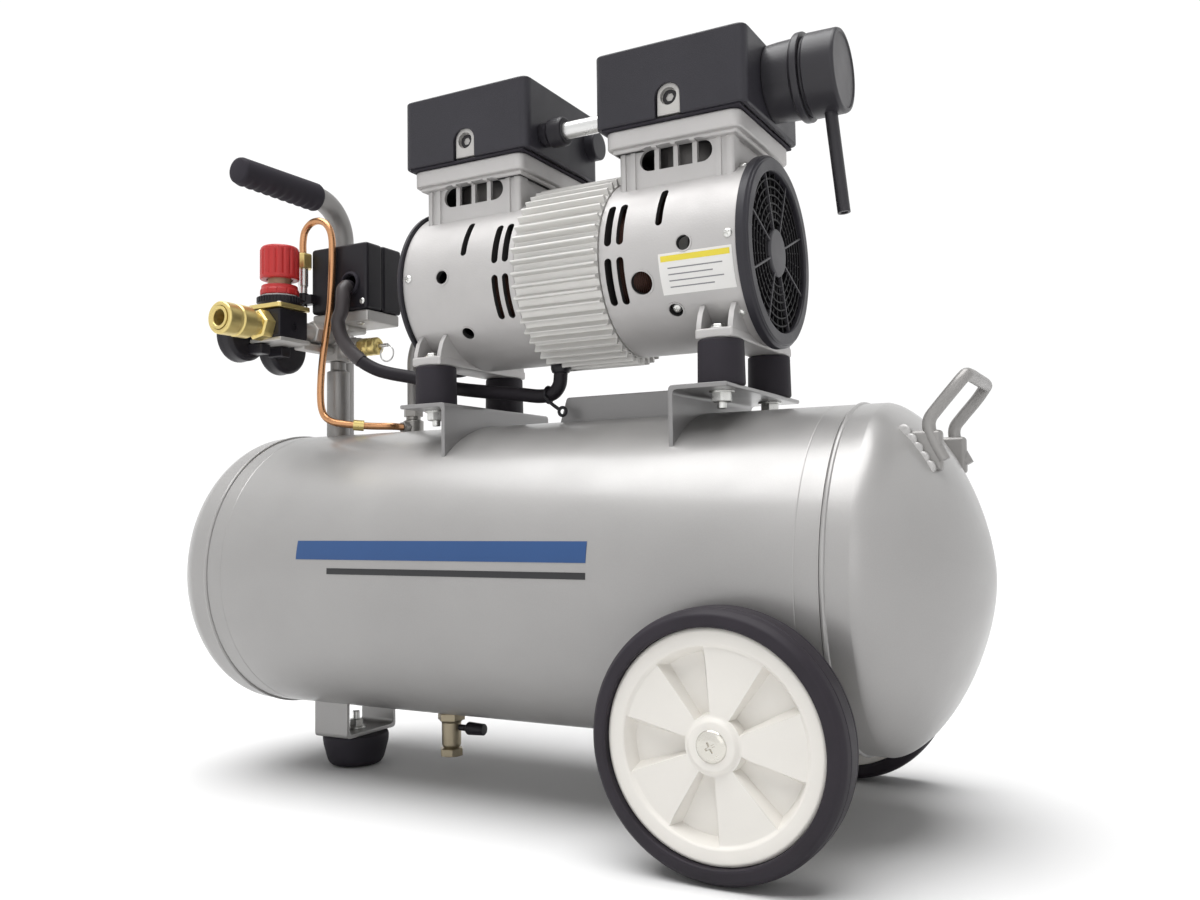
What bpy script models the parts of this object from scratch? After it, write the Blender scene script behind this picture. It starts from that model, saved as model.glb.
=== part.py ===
"""Oil-free twin-head air compressor on a horizontal tank with two wheels and one rubber foot.

Sizes are millimetres, turned into metres when a mesh is made. The origin is on the ground
under the middle of the tank: +X runs along the tank to the wheel end, +Y to the back, +Z up.
"""
import math

import bmesh
import bpy
from mathutils import Matrix, Vector

MM = 0.001
GAP = 0.3                      # clearance between neighbouring pieces

# ---- driving dimensions -------------------------------------------------------------------
TANK_R = 110.0
TANK_Z = 159.0                 # height of the tank's axis
TANK_SEAM_X = 238.65           # weld seams, either side of the middle
TANK_WALL = 2.5
RIDGE = 1.3                    # height of the weld bead on each seam
SKIRT = 16.0                   # straight rim of each end before its dome starts
DOME_DEPTH = 60.0
DOME_POWER = 1.6               # superellipse exponent of the dome

WHEEL_X = 185.8
WHEEL_R = 75.0                 # outside of the tyre, so also the axle's height
WHEEL_IN_Y = 111.5             # inner and outer face of the tyre, from the middle plane
WHEEL_OUT_Y = 142.5
DISC_R = 64.2
AXLE_R = 7.0

FOOT_X = -188.5
FOOT_TOP = 24.7

PUMP_X = 44.3                  # middle plane of the pump
SHAFT_Z = 375.0
BELL_R = 62.0
BELL_IN = 33.6                 # inner and outer end of a crankcase, from the pump's middle
BELL_OUT = 132.2
HEAD_OUT = 82.4                # each head's centre, from the pump's middle
COVER_SIZE = (110.2, 105.5)
COVER_BOTTOM = 463.1
COVER_TOP = 514.9
FLANGE_BOTTOM = 449.0
FLANGE_TOP = 461.0
MOUNT_OUT = 114.0              # each rubber mount, from the pump's middle
MOUNT_Y = 45.5
SADDLE_TOP = 282.2
SADDLE_IN = 90.5               # web and tip of a saddle, from the pump's middle
SADDLE_TIP = 127.7
FOOT_PAD_BOTTOM = 311.8

SHAFT_R = 6.0
THROW = 8.0                    # half the stroke
ECCENTRIC_R = 14.0
BIG_END_R = ECCENTRIC_R + 2 * THROW + 0.8
SLEEVE_R = 32.5
PISTON_R = 29.6

RISER = (-207.5, 0.0)
REGULATOR = (-214.5, -60.0)
AIR_Z = 352.5                  # height of the bore from the riser to the coupler
HANDLE_X = -234.0
HANDLE_Y = 35.0
HANDLE_R = 9.5
GRIP_Z = 478.0
CHECK_VALVE = (-149.0, 27.0)
DRAIN_X = -91.6

TURNS = {
    "Z": (0.0, 0.0, 0.0),
    "-Z": (math.pi, 0.0, 0.0),
    "X": (0.0, math.pi / 2, 0.0),
    "-X": (0.0, -math.pi / 2, 0.0),
    "Y": (-math.pi / 2, 0.0, 0.0),
    "-Y": (math.pi / 2, 0.0, 0.0),
}

# finish: base colour, roughness, metallic
FINISHES = {
    "tank_paint": ((0.50, 0.49, 0.48), 0.38, 0.45),
    "pump_silver": ((0.62, 0.61, 0.60), 0.40, 0.50),
    "cast_aluminium": ((0.55, 0.54, 0.53), 0.48, 0.85),
    "grey_steel": ((0.33, 0.33, 0.33), 0.42, 0.60),
    "zinc": ((0.62, 0.62, 0.60), 0.28, 1.00),
    "bright_steel": ((0.55, 0.56, 0.57), 0.25, 1.00),
    "charcoal": ((0.045, 0.043, 0.050), 0.42, 0.10),
    "black_plastic": ((0.020, 0.019, 0.024), 0.38, 0.00),
    "black_rubber": ((0.022, 0.020, 0.022), 0.70, 0.00),
    "white_plastic": ((0.80, 0.79, 0.74), 0.42, 0.00),
    "red_plastic": ((0.55, 0.03, 0.03), 0.36, 0.00),
    "brass": ((0.60, 0.48, 0.17), 0.27, 1.00),
    "copper": ((0.62, 0.30, 0.14), 0.26, 1.00),
    "laminations": ((0.30, 0.30, 0.31), 0.50, 0.90),
}


# ---- scene and helpers --------------------------------------------------------------------
def clear_scene():
    for obj in list(bpy.data.objects):
        bpy.data.objects.remove(obj, do_unlink=True)


def make_collection(name):
    collection = bpy.data.collections.new(name)
    bpy.context.scene.collection.children.link(collection)
    return collection


clear_scene()
PARTS = make_collection("air_compressor")
GUIDES = make_collection("cutters")


def finish_material(name, finish):
    colour, roughness, metallic = FINISHES[finish]
    material = bpy.data.materials.new(name + "_" + finish)
    material.use_nodes = True
    shader = material.node_tree.nodes["Principled BSDF"]
    shader.inputs["Base Color"].default_value = (*colour, 1.0)
    shader.inputs["Roughness"].default_value = roughness
    shader.inputs["Metallic"].default_value = metallic
    return material


def keep(obj, name, finish, pivot=None):
    """Put a finished piece in the model, under a pivot if it moves."""
    obj.name = name
    obj.data.materials.clear()
    obj.data.materials.append(finish_material(name, finish))
    PARTS.objects.link(obj)
    if obj.type == "MESH":
        obj.data.shade_smooth()
        obj.data.set_sharp_from_angle(angle=math.radians(40.0))
    if pivot is not None:
        obj.parent = pivot
        obj.matrix_parent_inverse = Matrix.Translation(-pivot.location)
    return obj


def pivot(name, x, y, z):
    empty = bpy.data.objects.new(name, None)
    empty.location = (x * MM, y * MM, z * MM)
    PARTS.objects.link(empty)
    return empty


def as_guide(obj):
    if obj.name not in GUIDES.objects:
        GUIDES.objects.link(obj)
    obj.hide_render = True
    obj.display_type = "WIRE"


def combine(target, others, operation):
    for other in others:
        as_guide(other)
        modifier = target.modifiers.new(operation.title(), "BOOLEAN")
        modifier.operation = operation
        modifier.solver = "EXACT"
        modifier.object = other
    return target


def join(target, *others):
    return combine(target, others, "UNION")


def cut(target, *others):
    return combine(target, others, "DIFFERENCE")


def box(low, high, bevel=0.0, segments=2):
    """A block between two opposite corners."""
    mesh = bpy.data.meshes.new("block")
    shape = bmesh.new()
    bmesh.ops.create_cube(shape, size=1.0)
    size = [(top - bottom) * MM for bottom, top in zip(low, high)]
    bmesh.ops.scale(shape, vec=size, verts=shape.verts)
    shape.to_mesh(mesh)
    shape.free()
    obj = bpy.data.objects.new("block", mesh)
    obj.location = [(top + bottom) * MM / 2 for bottom, top in zip(low, high)]
    if bevel:
        modifier = obj.modifiers.new("Edges", "BEVEL")
        modifier.width = bevel * MM
        modifier.segments = segments
        modifier.limit_method = "ANGLE"
    return obj


def turned(profile, at, axis="Z", steps=32, ring=False):
    """Turn (radius, height) points, listed down the outer side, about an axis through at."""
    mesh = bpy.data.meshes.new("turned")
    points = [(radius * MM, 0.0, height * MM) for radius, height in profile]
    edges = [(index, index + 1) for index in range(len(points) - 1)]
    if ring:
        edges.append((len(points) - 1, 0))
    mesh.from_pydata(points, edges, [])
    obj = bpy.data.objects.new("turned", mesh)
    screw = obj.modifiers.new("Turn", "SCREW")
    screw.steps = steps
    screw.render_steps = steps
    screw.use_merge_vertices = True
    screw.merge_threshold = 0.00001
    obj.location = [value * MM for value in at]
    obj.rotation_euler = TURNS[axis]
    return obj


def rod(radius, start, end, at, axis="Z", steps=24, chamfer=0.0):
    """A plain round bar from height start to height end along its axis."""
    profile = [(0.0, end), (radius - chamfer, end), (radius, end - chamfer)]
    profile += [(radius, start + chamfer), (radius - chamfer, start), (0.0, start)]
    if chamfer == 0.0:
        profile = [(0.0, end), (radius, end), (radius, start), (0.0, start)]
    return turned(profile, at, axis, steps)


def pipe(outer, inner, start, end, at, axis="Z", steps=24):
    profile = [(outer, end), (outer, start), (inner, start), (inner, end)]
    return turned(profile, at, axis, steps, ring=True)


def curve_object(dimensions):
    curve = bpy.data.curves.new("curve", "CURVE")
    curve.dimensions = dimensions
    return curve


def as_mesh(obj):
    """Swap a curve for a welded mesh, so it can be cut or joined."""
    GUIDES.objects.link(obj)
    bpy.context.view_layer.update()
    evaluated = obj.evaluated_get(bpy.context.evaluated_depsgraph_get())
    mesh = bpy.data.meshes.new_from_object(evaluated)
    shape = bmesh.new()
    shape.from_mesh(mesh)
    bmesh.ops.remove_doubles(shape, verts=shape.verts, dist=0.00001)
    shape.to_mesh(mesh)
    shape.free()
    swapped = bpy.data.objects.new("outline", mesh)
    swapped.matrix_world = obj.matrix_world.copy()
    bpy.data.objects.remove(obj, do_unlink=True)
    return swapped


def outline(loops, thickness, at, axis="Z"):
    """A flat shape of one outer loop and any holes, thickness thick about at."""
    curve = curve_object("2D")
    curve.fill_mode = "BOTH"
    curve.extrude = thickness * MM / 2
    for loop in loops:
        spline = curve.splines.new("POLY")
        spline.points.add(len(loop) - 1)
        for spot, (across, along) in zip(spline.points, loop):
            spot.co = (across * MM, along * MM, 0.0, 1.0)
        spline.use_cyclic_u = True
    obj = bpy.data.objects.new("outline", curve)
    obj.location = [value * MM for value in at]
    obj.rotation_euler = TURNS[axis]
    return as_mesh(obj)


def tube(points, radius, resolution=2):
    """A bent round bar along a list of points."""
    curve = curve_object("3D")
    curve.bevel_depth = radius * MM
    curve.bevel_resolution = resolution
    curve.use_fill_caps = True
    spline = curve.splines.new("POLY")
    spline.points.add(len(points) - 1)
    for spot, point in zip(spline.points, points):
        spot.co = (*[value * MM for value in point], 1.0)
    return bpy.data.objects.new("tube", curve)


def arc(radius, start, end, count, centre=(0.0, 0.0)):
    """Points on an arc, angles in degrees."""
    angles = [math.radians(start + (end - start) * step / count) for step in range(count + 1)]
    return [(centre[0] + radius * math.cos(a), centre[1] + radius * math.sin(a)) for a in angles]


def circle(radius, count):
    return arc(radius, 0.0, 360.0, count)[:-1]


def sector(inner, outer, start, end, count):
    """A window between two radii and two angles."""
    return arc(outer, start, end, count) + arc(inner, end, start, count)


def stadium(length, width, count=4):
    half = (length - width) / 2
    left = arc(width / 2, 90.0, 270.0, count, (-half, 0.0))
    right = arc(width / 2, -90.0, 90.0, count, (half, 0.0))
    return left + right


def tank_solid(clearance=GAP):
    """The tank's outside, grown by a clearance, for trimming what stands on it."""
    length = TANK_SEAM_X + SKIRT - 1.0
    return rod(TANK_R + clearance, -length, length, (0.0, 0.0, TANK_Z), "X", 48)


# ---- air tank -----------------------------------------------------------------------------
def dome_profile(radius, depth, start, points):
    """Superellipse from the skirt's edge to the tip."""
    profile = []
    for index in range(points + 1):
        angle = math.pi / 2 * index / points
        across = radius * math.cos(angle) ** (2 / DOME_POWER)
        along = start + depth * math.sin(angle) ** (2 / DOME_POWER)
        profile.append((across if index < points else 0.0, along))
    return profile


def build_tank():
    half = TANK_SEAM_X - GAP
    centre = (0.0, 0.0, TANK_Z)
    keep(pipe(TANK_R, TANK_R - TANK_WALL, -half, half, centre, "X", 40), "tank_barrel", "tank_paint")
    start = TANK_SEAM_X + SKIRT
    for side, name in (("X", "tank_end_right"), ("-X", "tank_end_left")):
        outer = dome_profile(TANK_R, DOME_DEPTH, start, 6)[::-1]
        outer += [(TANK_R, TANK_SEAM_X + 3.0), (TANK_R + RIDGE, TANK_SEAM_X + 1.2), (TANK_R, TANK_SEAM_X)]
        inner = dome_profile(TANK_R - TANK_WALL, DOME_DEPTH - TANK_WALL, start, 4)
        inner.insert(0, (TANK_R - TANK_WALL, TANK_SEAM_X))
        keep(turned(outer + inner, centre, side, 32), name, "tank_paint")


def build_carry_handle():
    """U-shaped bar welded to the right dome, with a flattened weld pad at each foot."""
    reach = 40.0
    side = [(294.0, 230.0), (286.5, 246.0), (286.0, 252.0), (289.0, 257.5), (303.0, 275.5)]
    left = [(x, -reach, z) for x, z in side] + [(307.0, -reach + 3.0, 280.0)]
    bar = left + [(x, -y, z) for x, y, z in reversed(left)]
    handle = as_mesh(tube(bar, 3.7))
    start = TANK_SEAM_X + SKIRT
    dome = dome_profile(TANK_R + GAP, DOME_DEPTH + GAP, start, 14)[::-1]
    dome += [(TANK_R + GAP, 0.0), (0.0, 0.0)]
    for sign in (-1, 1):
        y = sign * (reach - 1.0)
        join(handle, box((272.0, y - 4.0, 224.0), (294.0, y + 4.0, 248.0), 2.0, 1))
    cut(handle, turned(dome, (0.0, 0.0, TANK_Z), "X", 48))
    keep(handle, "carry_handle", "grey_steel")


def build_drain():
    bottom = TANK_Z - TANK_R
    at = (DRAIN_X, 0.0, 0.0)
    profile = [(0.0, bottom - 0.5), (9.3, bottom - 0.5), (9.3, 42.0), (7.2, 41.0), (7.2, 22.0)]
    profile += [(5.6, 20.5), (5.6, 17.0), (7.8, 15.0), (0.0, 15.0)]
    keep(turned(profile, at, "Z", 14), "drain_valve_body", "brass")
    knob_z = 37.0
    at = (DRAIN_X, 0.0, knob_z)
    knob = [(0.0, 31.0), (4.2, 31.0), (5.0, 30.0), (5.0, 15.0), (2.4, 14.0), (2.4, 7.6), (0.0, 7.6)]
    keep(turned(knob, at, "X", 12), "drain_valve_knob", "black_plastic", pivot("drain_axis", *at))


# ---- wheels and foot ----------------------------------------------------------------------
def build_wheel(name, sign):
    axis = "Y" if sign > 0 else "-Y"
    at = (WHEEL_X, 0.0, WHEEL_R)
    hub = pivot("axle_" + name, WHEEL_X, 0.0, WHEEL_R)
    face = WHEEL_OUT_Y - 2.5
    back = WHEEL_IN_Y + 2.0
    bore = AXLE_R + GAP
    wheel = [(bore, face), (14.5, face), (15.0, face - 1.6), (DISC_R, face - 1.6), (DISC_R, back)]
    wheel += [(DISC_R - 7, back), (DISC_R - 10, back + 7), (20.0, back + 7), (18.0, back), (bore, back)]
    disc = turned(wheel, at, axis, 32, ring=True)
    for index in range(5):
        middle = 40.0 + 72.0 * index
        window = sector(DISC_R * 0.30, DISC_R * 0.83, middle - 17.0, middle + 17.0, 3)
        place = (WHEEL_X, sign * face, WHEEL_R)
        cut(disc, outline([window], 22.0, place, "-Y"))
    keep(disc, "wheel_" + name, "white_plastic", hub)
    inner = DISC_R + GAP
    tyre = [(inner, WHEEL_OUT_Y), (inner + 5.0, WHEEL_OUT_Y), (WHEEL_R - 1.5, WHEEL_OUT_Y - 4.5)]
    tyre += [(WHEEL_R, WHEEL_OUT_Y - 9.0), (WHEEL_R, WHEEL_IN_Y + 9.0), (WHEEL_R - 1.5, WHEEL_IN_Y + 4.5)]
    tyre += [(inner + 5.0, WHEEL_IN_Y), (inner, WHEEL_IN_Y)]
    keep(turned(tyre, at, axis, 36, ring=True), "tyre_" + name, "black_rubber", hub)


def build_wheel_bracket(name, sign):
    """Welded plate with a stub axle, whose rivet head holds the wheel on."""
    axis = "Y" if sign > 0 else "-Y"
    near, far = 84.0, 88.0
    low, high = sorted((sign * near, sign * far))
    plate = box((WHEEL_X - 24.0, low, WHEEL_R - 13.0), (WHEEL_X + 24.0, high, 112.0))
    face = WHEEL_OUT_Y - 2.5
    axle = [(0.0, face + 2.3), (7.5, face + 2.3), (9.0, face + 1.4), (9.0, face + GAP)]
    axle += [(AXLE_R, face + GAP), (AXLE_R, WHEEL_IN_Y + 1.0), (11.0, WHEEL_IN_Y + 1.0)]
    axle += [(11.0, near + 1.0), (0.0, near + 1.0)]
    cut(join(plate, turned(axle, (WHEEL_X, 0.0, WHEEL_R), axis, 14)), tank_solid())
    keep(plate, "wheel_bracket_" + name, "zinc")


def build_foot():
    half_x, half_y = 17.0, 29.5
    plate_top = FOOT_TOP + 3.0 + GAP
    low = (FOOT_X - half_x, -half_y, FOOT_TOP + GAP)
    bracket = box(low, (FOOT_X + half_x, half_y, plate_top))
    for sign in (-1, 1):
        low_y, high_y = sorted((sign * half_y, sign * (half_y - 3.0)))
        low = (FOOT_X - half_x, low_y, FOOT_TOP + GAP)
        join(bracket, box(low, (FOOT_X + half_x, high_y, 60.0)))
    keep(cut(bracket, tank_solid()), "foot_bracket", "tank_paint")
    foot = [(0.0, FOOT_TOP), (26.0, FOOT_TOP), (26.5, FOOT_TOP - 4.0), (21.0, 1.0), (20.0, 0.0), (0.0, 0.0)]
    keep(turned(foot, (FOOT_X, 0.0, 0.0), "Z", 24), "rubber_foot", "black_rubber")


# ---- push handle --------------------------------------------------------------------------
def build_push_handle():
    bend = 33.0
    start = TANK_Z + math.sqrt(TANK_R ** 2 - HANDLE_Y ** 2)
    points = [(HANDLE_X, HANDLE_Y, start - 6.0), (HANDLE_X, HANDLE_Y, GRIP_Z - bend)]
    for across, up in arc(bend, 0.0, 90.0, 7)[1:]:
        points.append((HANDLE_X, HANDLE_Y - bend + across, GRIP_Z - bend + up))
    points.append((HANDLE_X, -78.0, GRIP_Z))
    handle = cut(as_mesh(tube(points, HANDLE_R, 3)), tank_solid(RIDGE + GAP))
    keep(handle, "handle_tube", "grey_steel")
    inner = HANDLE_R + GAP
    grip = [(0.0, 87.0), (9.4, 87.0), (11.2, 84.5), (11.9, 40.0), (12.4, 0.0)]
    grip += [(inner, 0.0), (inner, 80.0), (0.0, 80.0)]
    keep(turned(grip, (HANDLE_X, 1.0, GRIP_Z), "-Y", 18), "handle_grip", "black_rubber")


# ---- air fittings -------------------------------------------------------------------------
def build_manifold():
    x, y = RISER
    crown = TANK_Z + TANK_R
    at = (x, y, 0.0)
    riser = [(0.0, 331.8), (6.5, 331.8), (6.5, 324.0), (9.4, 323.0), (9.4, crown - 3.0), (0.0, crown - 3.0)]
    keep(cut(turned(riser, at, "Z", 14), tank_solid()), "riser_pipe", "grey_steel")
    casting = turned([(0.0, 362.0), (12.5, 362.0), (12.5, 332.1), (0.0, 332.1)], at, "Z", 6)
    plate = box((x - 10.0, -20.0, 360.0), (-158.0, 20.0, 369.4), 1.0, 1)
    arm = rod(8.5, 0.0, 26.0, (x, y, 342.0), "X", 16)
    nipple = rod(8.0, 5.0, 44.2, (x, y, AIR_Z), "-Y", 16)
    lug = box((x - 7.0, -45.0, 337.0), (x + 5.0, -6.0, 343.2))
    rx, ry = REGULATOR
    base = box((rx - 17.0, ry - 15.5, 339.9), (rx + 17.0, ry + 17.0, 343.2))
    keep(join(casting, plate, arm, nipple, lug, base), "manifold", "cast_aluminium")


def build_switch():
    low_x, high_x = -217.2, -157.2
    low_z, high_z = 369.8, 424.7
    back = box((low_x, -1.6, low_z), (high_x, 22.0, high_z), 2.0, 1)
    cut(back, box((low_x + 3, -5.0, low_z + 3), (high_x - 3, 12.0, high_z - 3)))
    valve_x, valve_y = -222.4, -26.0
    front = box((low_x, -22.0, low_z), (high_x, -2.2, high_z), 2.0, 1)
    cut(front, box((low_x + 3, -19.0, low_z + 3), (high_x - 3, 0.0, high_z - 3)))
    valve = [(0.0, 421.0), (6.2, 421.0), (6.8, 420.0), (6.8, 409.0), (3.4, 408.0), (3.4, 376.0), (0.0, 376.0)]
    lug = box((valve_x - 2.0, valve_y - 2.0, 378.0), (low_x + 6.0, -20.0, 386.0))
    join(front, lug, turned(valve, (valve_x, valve_y, 0.0), "Z", 12))
    keep(back, "switch_base", "black_plastic")
    window = box((low_x - 3, -17.0, 388.0), (low_x + 4, -7.0, 408.0))
    keep(cut(front, window), "switch_cover", "black_plastic")
    rock_x, rock_z = low_x + 1.5, 398.0
    profile = [(-3.6, -9.0), (1.2, -9.0), (1.2, 9.0), (-1.2, 9.0), (-2.0, 0.0)]
    at = (rock_x, -12.0, rock_z)
    rocker = outline([profile], 9.0, at, "Y")
    keep(rocker, "switch_rocker", "black_plastic", pivot("rocker_axis", *at))


def build_safety_valve():
    at = (RISER[0], RISER[1], 342.0)
    start = 26.3
    body = [(0.0, 44.0), (6.4, 44.0), (7.4, 42.8), (7.4, start), (0.0, start)]
    keep(turned(body, at, "X", 12), "safety_valve_body", "brass")
    hang = 6.8
    stem = [(0.0, 54.0), (1.6, 54.0), (1.6, 44.3), (0.0, 44.3)]
    ring_x = at[0] + 52.8
    loop = []
    for across, up in circle(hang, 14):
        loop.append((ring_x + across, 0.0, at[2] - hang + up))
    ring = tube(loop, 0.9, 1)
    ring.data.splines[0].use_cyclic_u = True
    ring.data.use_fill_caps = False
    pull = join(turned(stem, at, "X", 8), as_mesh(ring))
    keep(pull, "safety_valve_ring", "bright_steel", pivot("safety_axis", *at))


def build_regulator():
    x, y = REGULATOR
    at = (x, y, 0.0)
    half = 15.5
    body = box((x - half, y - half, 343.5), (x + half, y + half, 367.0), 1.0, 1)
    flange = box((x - 17.5, y - 17.5, 366.2), (x + 17.5, y + 17.5, 370.6), 0.6, 1)
    bonnet = [(0.0, 394.0), (9.4, 394.0), (9.4, 377.4), (17.2, 377.0), (17.2, 370.0), (0.0, 370.0)]
    keep(join(body, flange, turned(bonnet, at, "Z", 20)), "regulator_body", "black_plastic")
    ring = [(15.2, 386.9), (15.2, 378.6), (9.8, 378.6), (9.8, 386.9)]
    spin = pivot("regulator_axis", x, y, 378.0)
    keep(turned(ring, at, "Z", 20, ring=True), "regulator_ring", "red_plastic", spin)
    knob = [(0.0, 418.4), (13.4, 418.4), (15.0, 416.8), (15.4, 391.6), (10.2, 391.6), (10.2, 395.0), (0.0, 395.0)]
    keep(turned(knob, at, "Z", 20), "regulator_knob", "red_plastic", spin)


def build_coupler():
    x, y = REGULATOR
    at = (x, y, AIR_Z)
    face = 15.8
    hexagon = rod(13.0, face, 29.0, at, "-Y", 6)
    body = cut(join(hexagon, pipe(8.9, 4.0, 28.0, 62.0, at, "-Y", 16)), rod(6.0, 32.0, 66.0, at, "-Y", 16))
    keep(body, "coupler_body", "brass")
    sleeve = [(11.6, 61.2), (12.6, 60.2), (12.6, 49.5), (11.6, 48.0), (12.6, 46.5), (12.6, 33.8)]
    sleeve += [(9.3, 33.8), (9.3, 61.2)]
    slide = pivot("coupler_axis", *at)
    keep(turned(sleeve, at, "-Y", 18, ring=True), "coupler_sleeve", "brass", slide)


def build_gauge(name, y, z, radius, block_y):
    """Dial gauge facing -X, screwed under the regulator's plate."""
    x, deep = -232.0, 15.0
    case = [(0.0, deep - 2.5), (radius - 2.3, deep - 2.5), (radius - 2.0, deep), (radius, deep)]
    case += [(radius, 2.0), (radius - 2.0, 0.0), (0.0, 0.0)]
    gauge = turned(case, (x, y, z), "-X", 22)
    stem = box((x - 2.0, block_y - 5.0, 331.4), (x + 14.0, block_y + 5.0, 339.6), 1.0, 1)
    keep(join(gauge, stem), name, "black_plastic")


def build_check_valve():
    x, y = CHECK_VALVE
    profile = [(0.0, 291.5), (7.6, 291.5), (7.6, 284.0), (6.0, 283.2), (6.0, 281.4)]
    profile += [(8.6, 280.6), (8.6, 262.0), (0.0, 262.0)]
    body = turned(profile, (x, y, 0.0), "Z", 12)
    port = rod(4.2, 0.0, 15.0, (x, y, 274.6), "-Y", 10)
    keep(cut(join(body, port), tank_solid()), "check_valve", "brass")


UNLOADER_ROUTE = [
    (-222.4, -26.0, 421.4), (-222.4, -26.0, 431.0), (-220.2, -26.0, 440.0), (-213.0, -26.0, 446.0),
    (-203.5, -26.0, 446.4), (-195.5, -26.0, 441.5), (-190.8, -26.0, 431.0), (-190.2, -26.0, 412.0),
    (-191.4, -26.0, 387.4), (-193.0, -26.0, 370.0), (-196.9, -26.0, 350.0), (-200.0, -26.0, 335.0),
    (-202.2, -26.0, 318.0), (-203.0, -26.0, 301.0), (-201.5, -26.0, 289.5), (-197.0, -26.0, 282.4),
    (-189.5, -25.0, 278.4), (-181.0, -21.5, 276.6), (-172.0, -15.6, 275.4), (-163.0, -8.0, 274.8),
    (-153.5, -1.5, 274.6), (-149.7, 4.0, 274.6), (-149.0, 11.2, 274.6),
]
DISCHARGE_ROUTE = [
    (-149.0, 27.0, 291.9), (-149.0, 27.0, 316.0), (-149.0, 28.0, 336.0), (-146.0, 34.0, 352.0),
    (-137.0, 48.0, 368.0), (-122.0, 67.0, 388.0), (-102.0, 80.0, 412.0), (-78.0, 87.0, 440.0),
    (-55.0, 88.0, 466.0), (-42.0, 82.0, 482.0), (-38.1, 70.0, 488.0), (-38.1, 53.2, 488.0),
]
CABLE_ROUTE = [
    (-174.2, -22.4, 388.4), (-174.2, -26.5, 388.4), (-173.4, -31.4, 384.0), (-172.0, -33.6, 376.0),
    (-172.8, -34.0, 367.0),
    (-176.5, -34.0, 359.0), (-174.5, -33.0, 347.0), (-167.5, -31.0, 335.5), (-157.5, -28.0, 325.6),
    (-145.8, -24.0, 318.5), (-133.5, -20.0, 314.5), (-115.5, -14.0, 310.5), (-96.0, -11.0, 304.5),
    (-76.5, -11.0, 299.5), (-47.0, -10.0, 295.0), (-19.0, -8.0, 291.5), (-3.0, -7.0, 289.3),
    (7.5, -6.0, 290.5), (13.5, -6.0, 296.5), (15.0, -6.0, 305.8),
]


def build_lines():
    keep(tube(UNLOADER_ROUTE, 2.9), "unloader_line", "copper")
    keep(tube(DISCHARGE_ROUTE, 5.0), "discharge_pipe", "grey_steel")
    keep(tube(CABLE_ROUTE, 5.2), "motor_cable", "black_rubber")


# ---- saddles and rubber mounts ------------------------------------------------------------
def build_saddle(name, sign):
    half_y = 71.0
    thick = 3.0
    web_x = sorted((PUMP_X + sign * SADDLE_IN, PUMP_X + sign * (SADDLE_IN - thick)))
    top_x = sorted((PUMP_X + sign * (SADDLE_IN - thick), PUMP_X + sign * SADDLE_TIP))
    web = box((web_x[0], -half_y, 236.0), (web_x[1], half_y, SADDLE_TOP))
    join(web, box((top_x[0], -half_y, SADDLE_TOP - thick), (top_x[1], half_y, SADDLE_TOP)))
    if sign > 0:
        top = SADDLE_TOP + 5.0
        ends = [(18.0, top), (10.0, 262.0), (web_x[0] + 1.0, 262.0), (web_x[0] + 1.0, top)]
        loop = [(x, z - SADDLE_TOP) for x, z in ends]
        join(web, outline([loop], thick, (0.0, 0.0, SADDLE_TOP), "-Y"))
    keep(cut(web, tank_solid()), name, "tank_paint")


def build_mounts():
    low = SADDLE_TOP + GAP
    high = FOOT_PAD_BOTTOM - GAP
    profile = [(0.0, high), (15.1, high), (15.5, low), (0.0, low)]
    for side, sign in (("left", -1), ("right", 1)):
        for face, y in (("front", -MOUNT_Y), ("back", MOUNT_Y)):
            at = (PUMP_X + sign * MOUNT_OUT, y, 0.0)
            keep(turned(profile, at, "Z", 16), "mount_" + side + "_" + face, "black_rubber")


# ---- pump ---------------------------------------------------------------------------------
def on_bell(shape, x, angle, radius=BELL_R):
    """Stand a flat cutter on the crankcase, angle degrees up from the front."""
    lean = math.radians(angle)
    out = Vector((0.0, -math.cos(lean), math.sin(lean)))
    up = Vector((0.0, math.sin(lean), math.cos(lean)))
    place = Vector((x, 0.0, SHAFT_Z)) + out * radius
    turn = Matrix((Vector((1.0, 0.0, 0.0)), up, out)).transposed().to_4x4()
    shape.matrix_world = Matrix.Translation(place * MM) @ turn
    return shape


def bell_opening(loop, x, angle):
    return on_bell(outline([loop], 20.0, (0.0, 0.0, 0.0)), x, angle)


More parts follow.
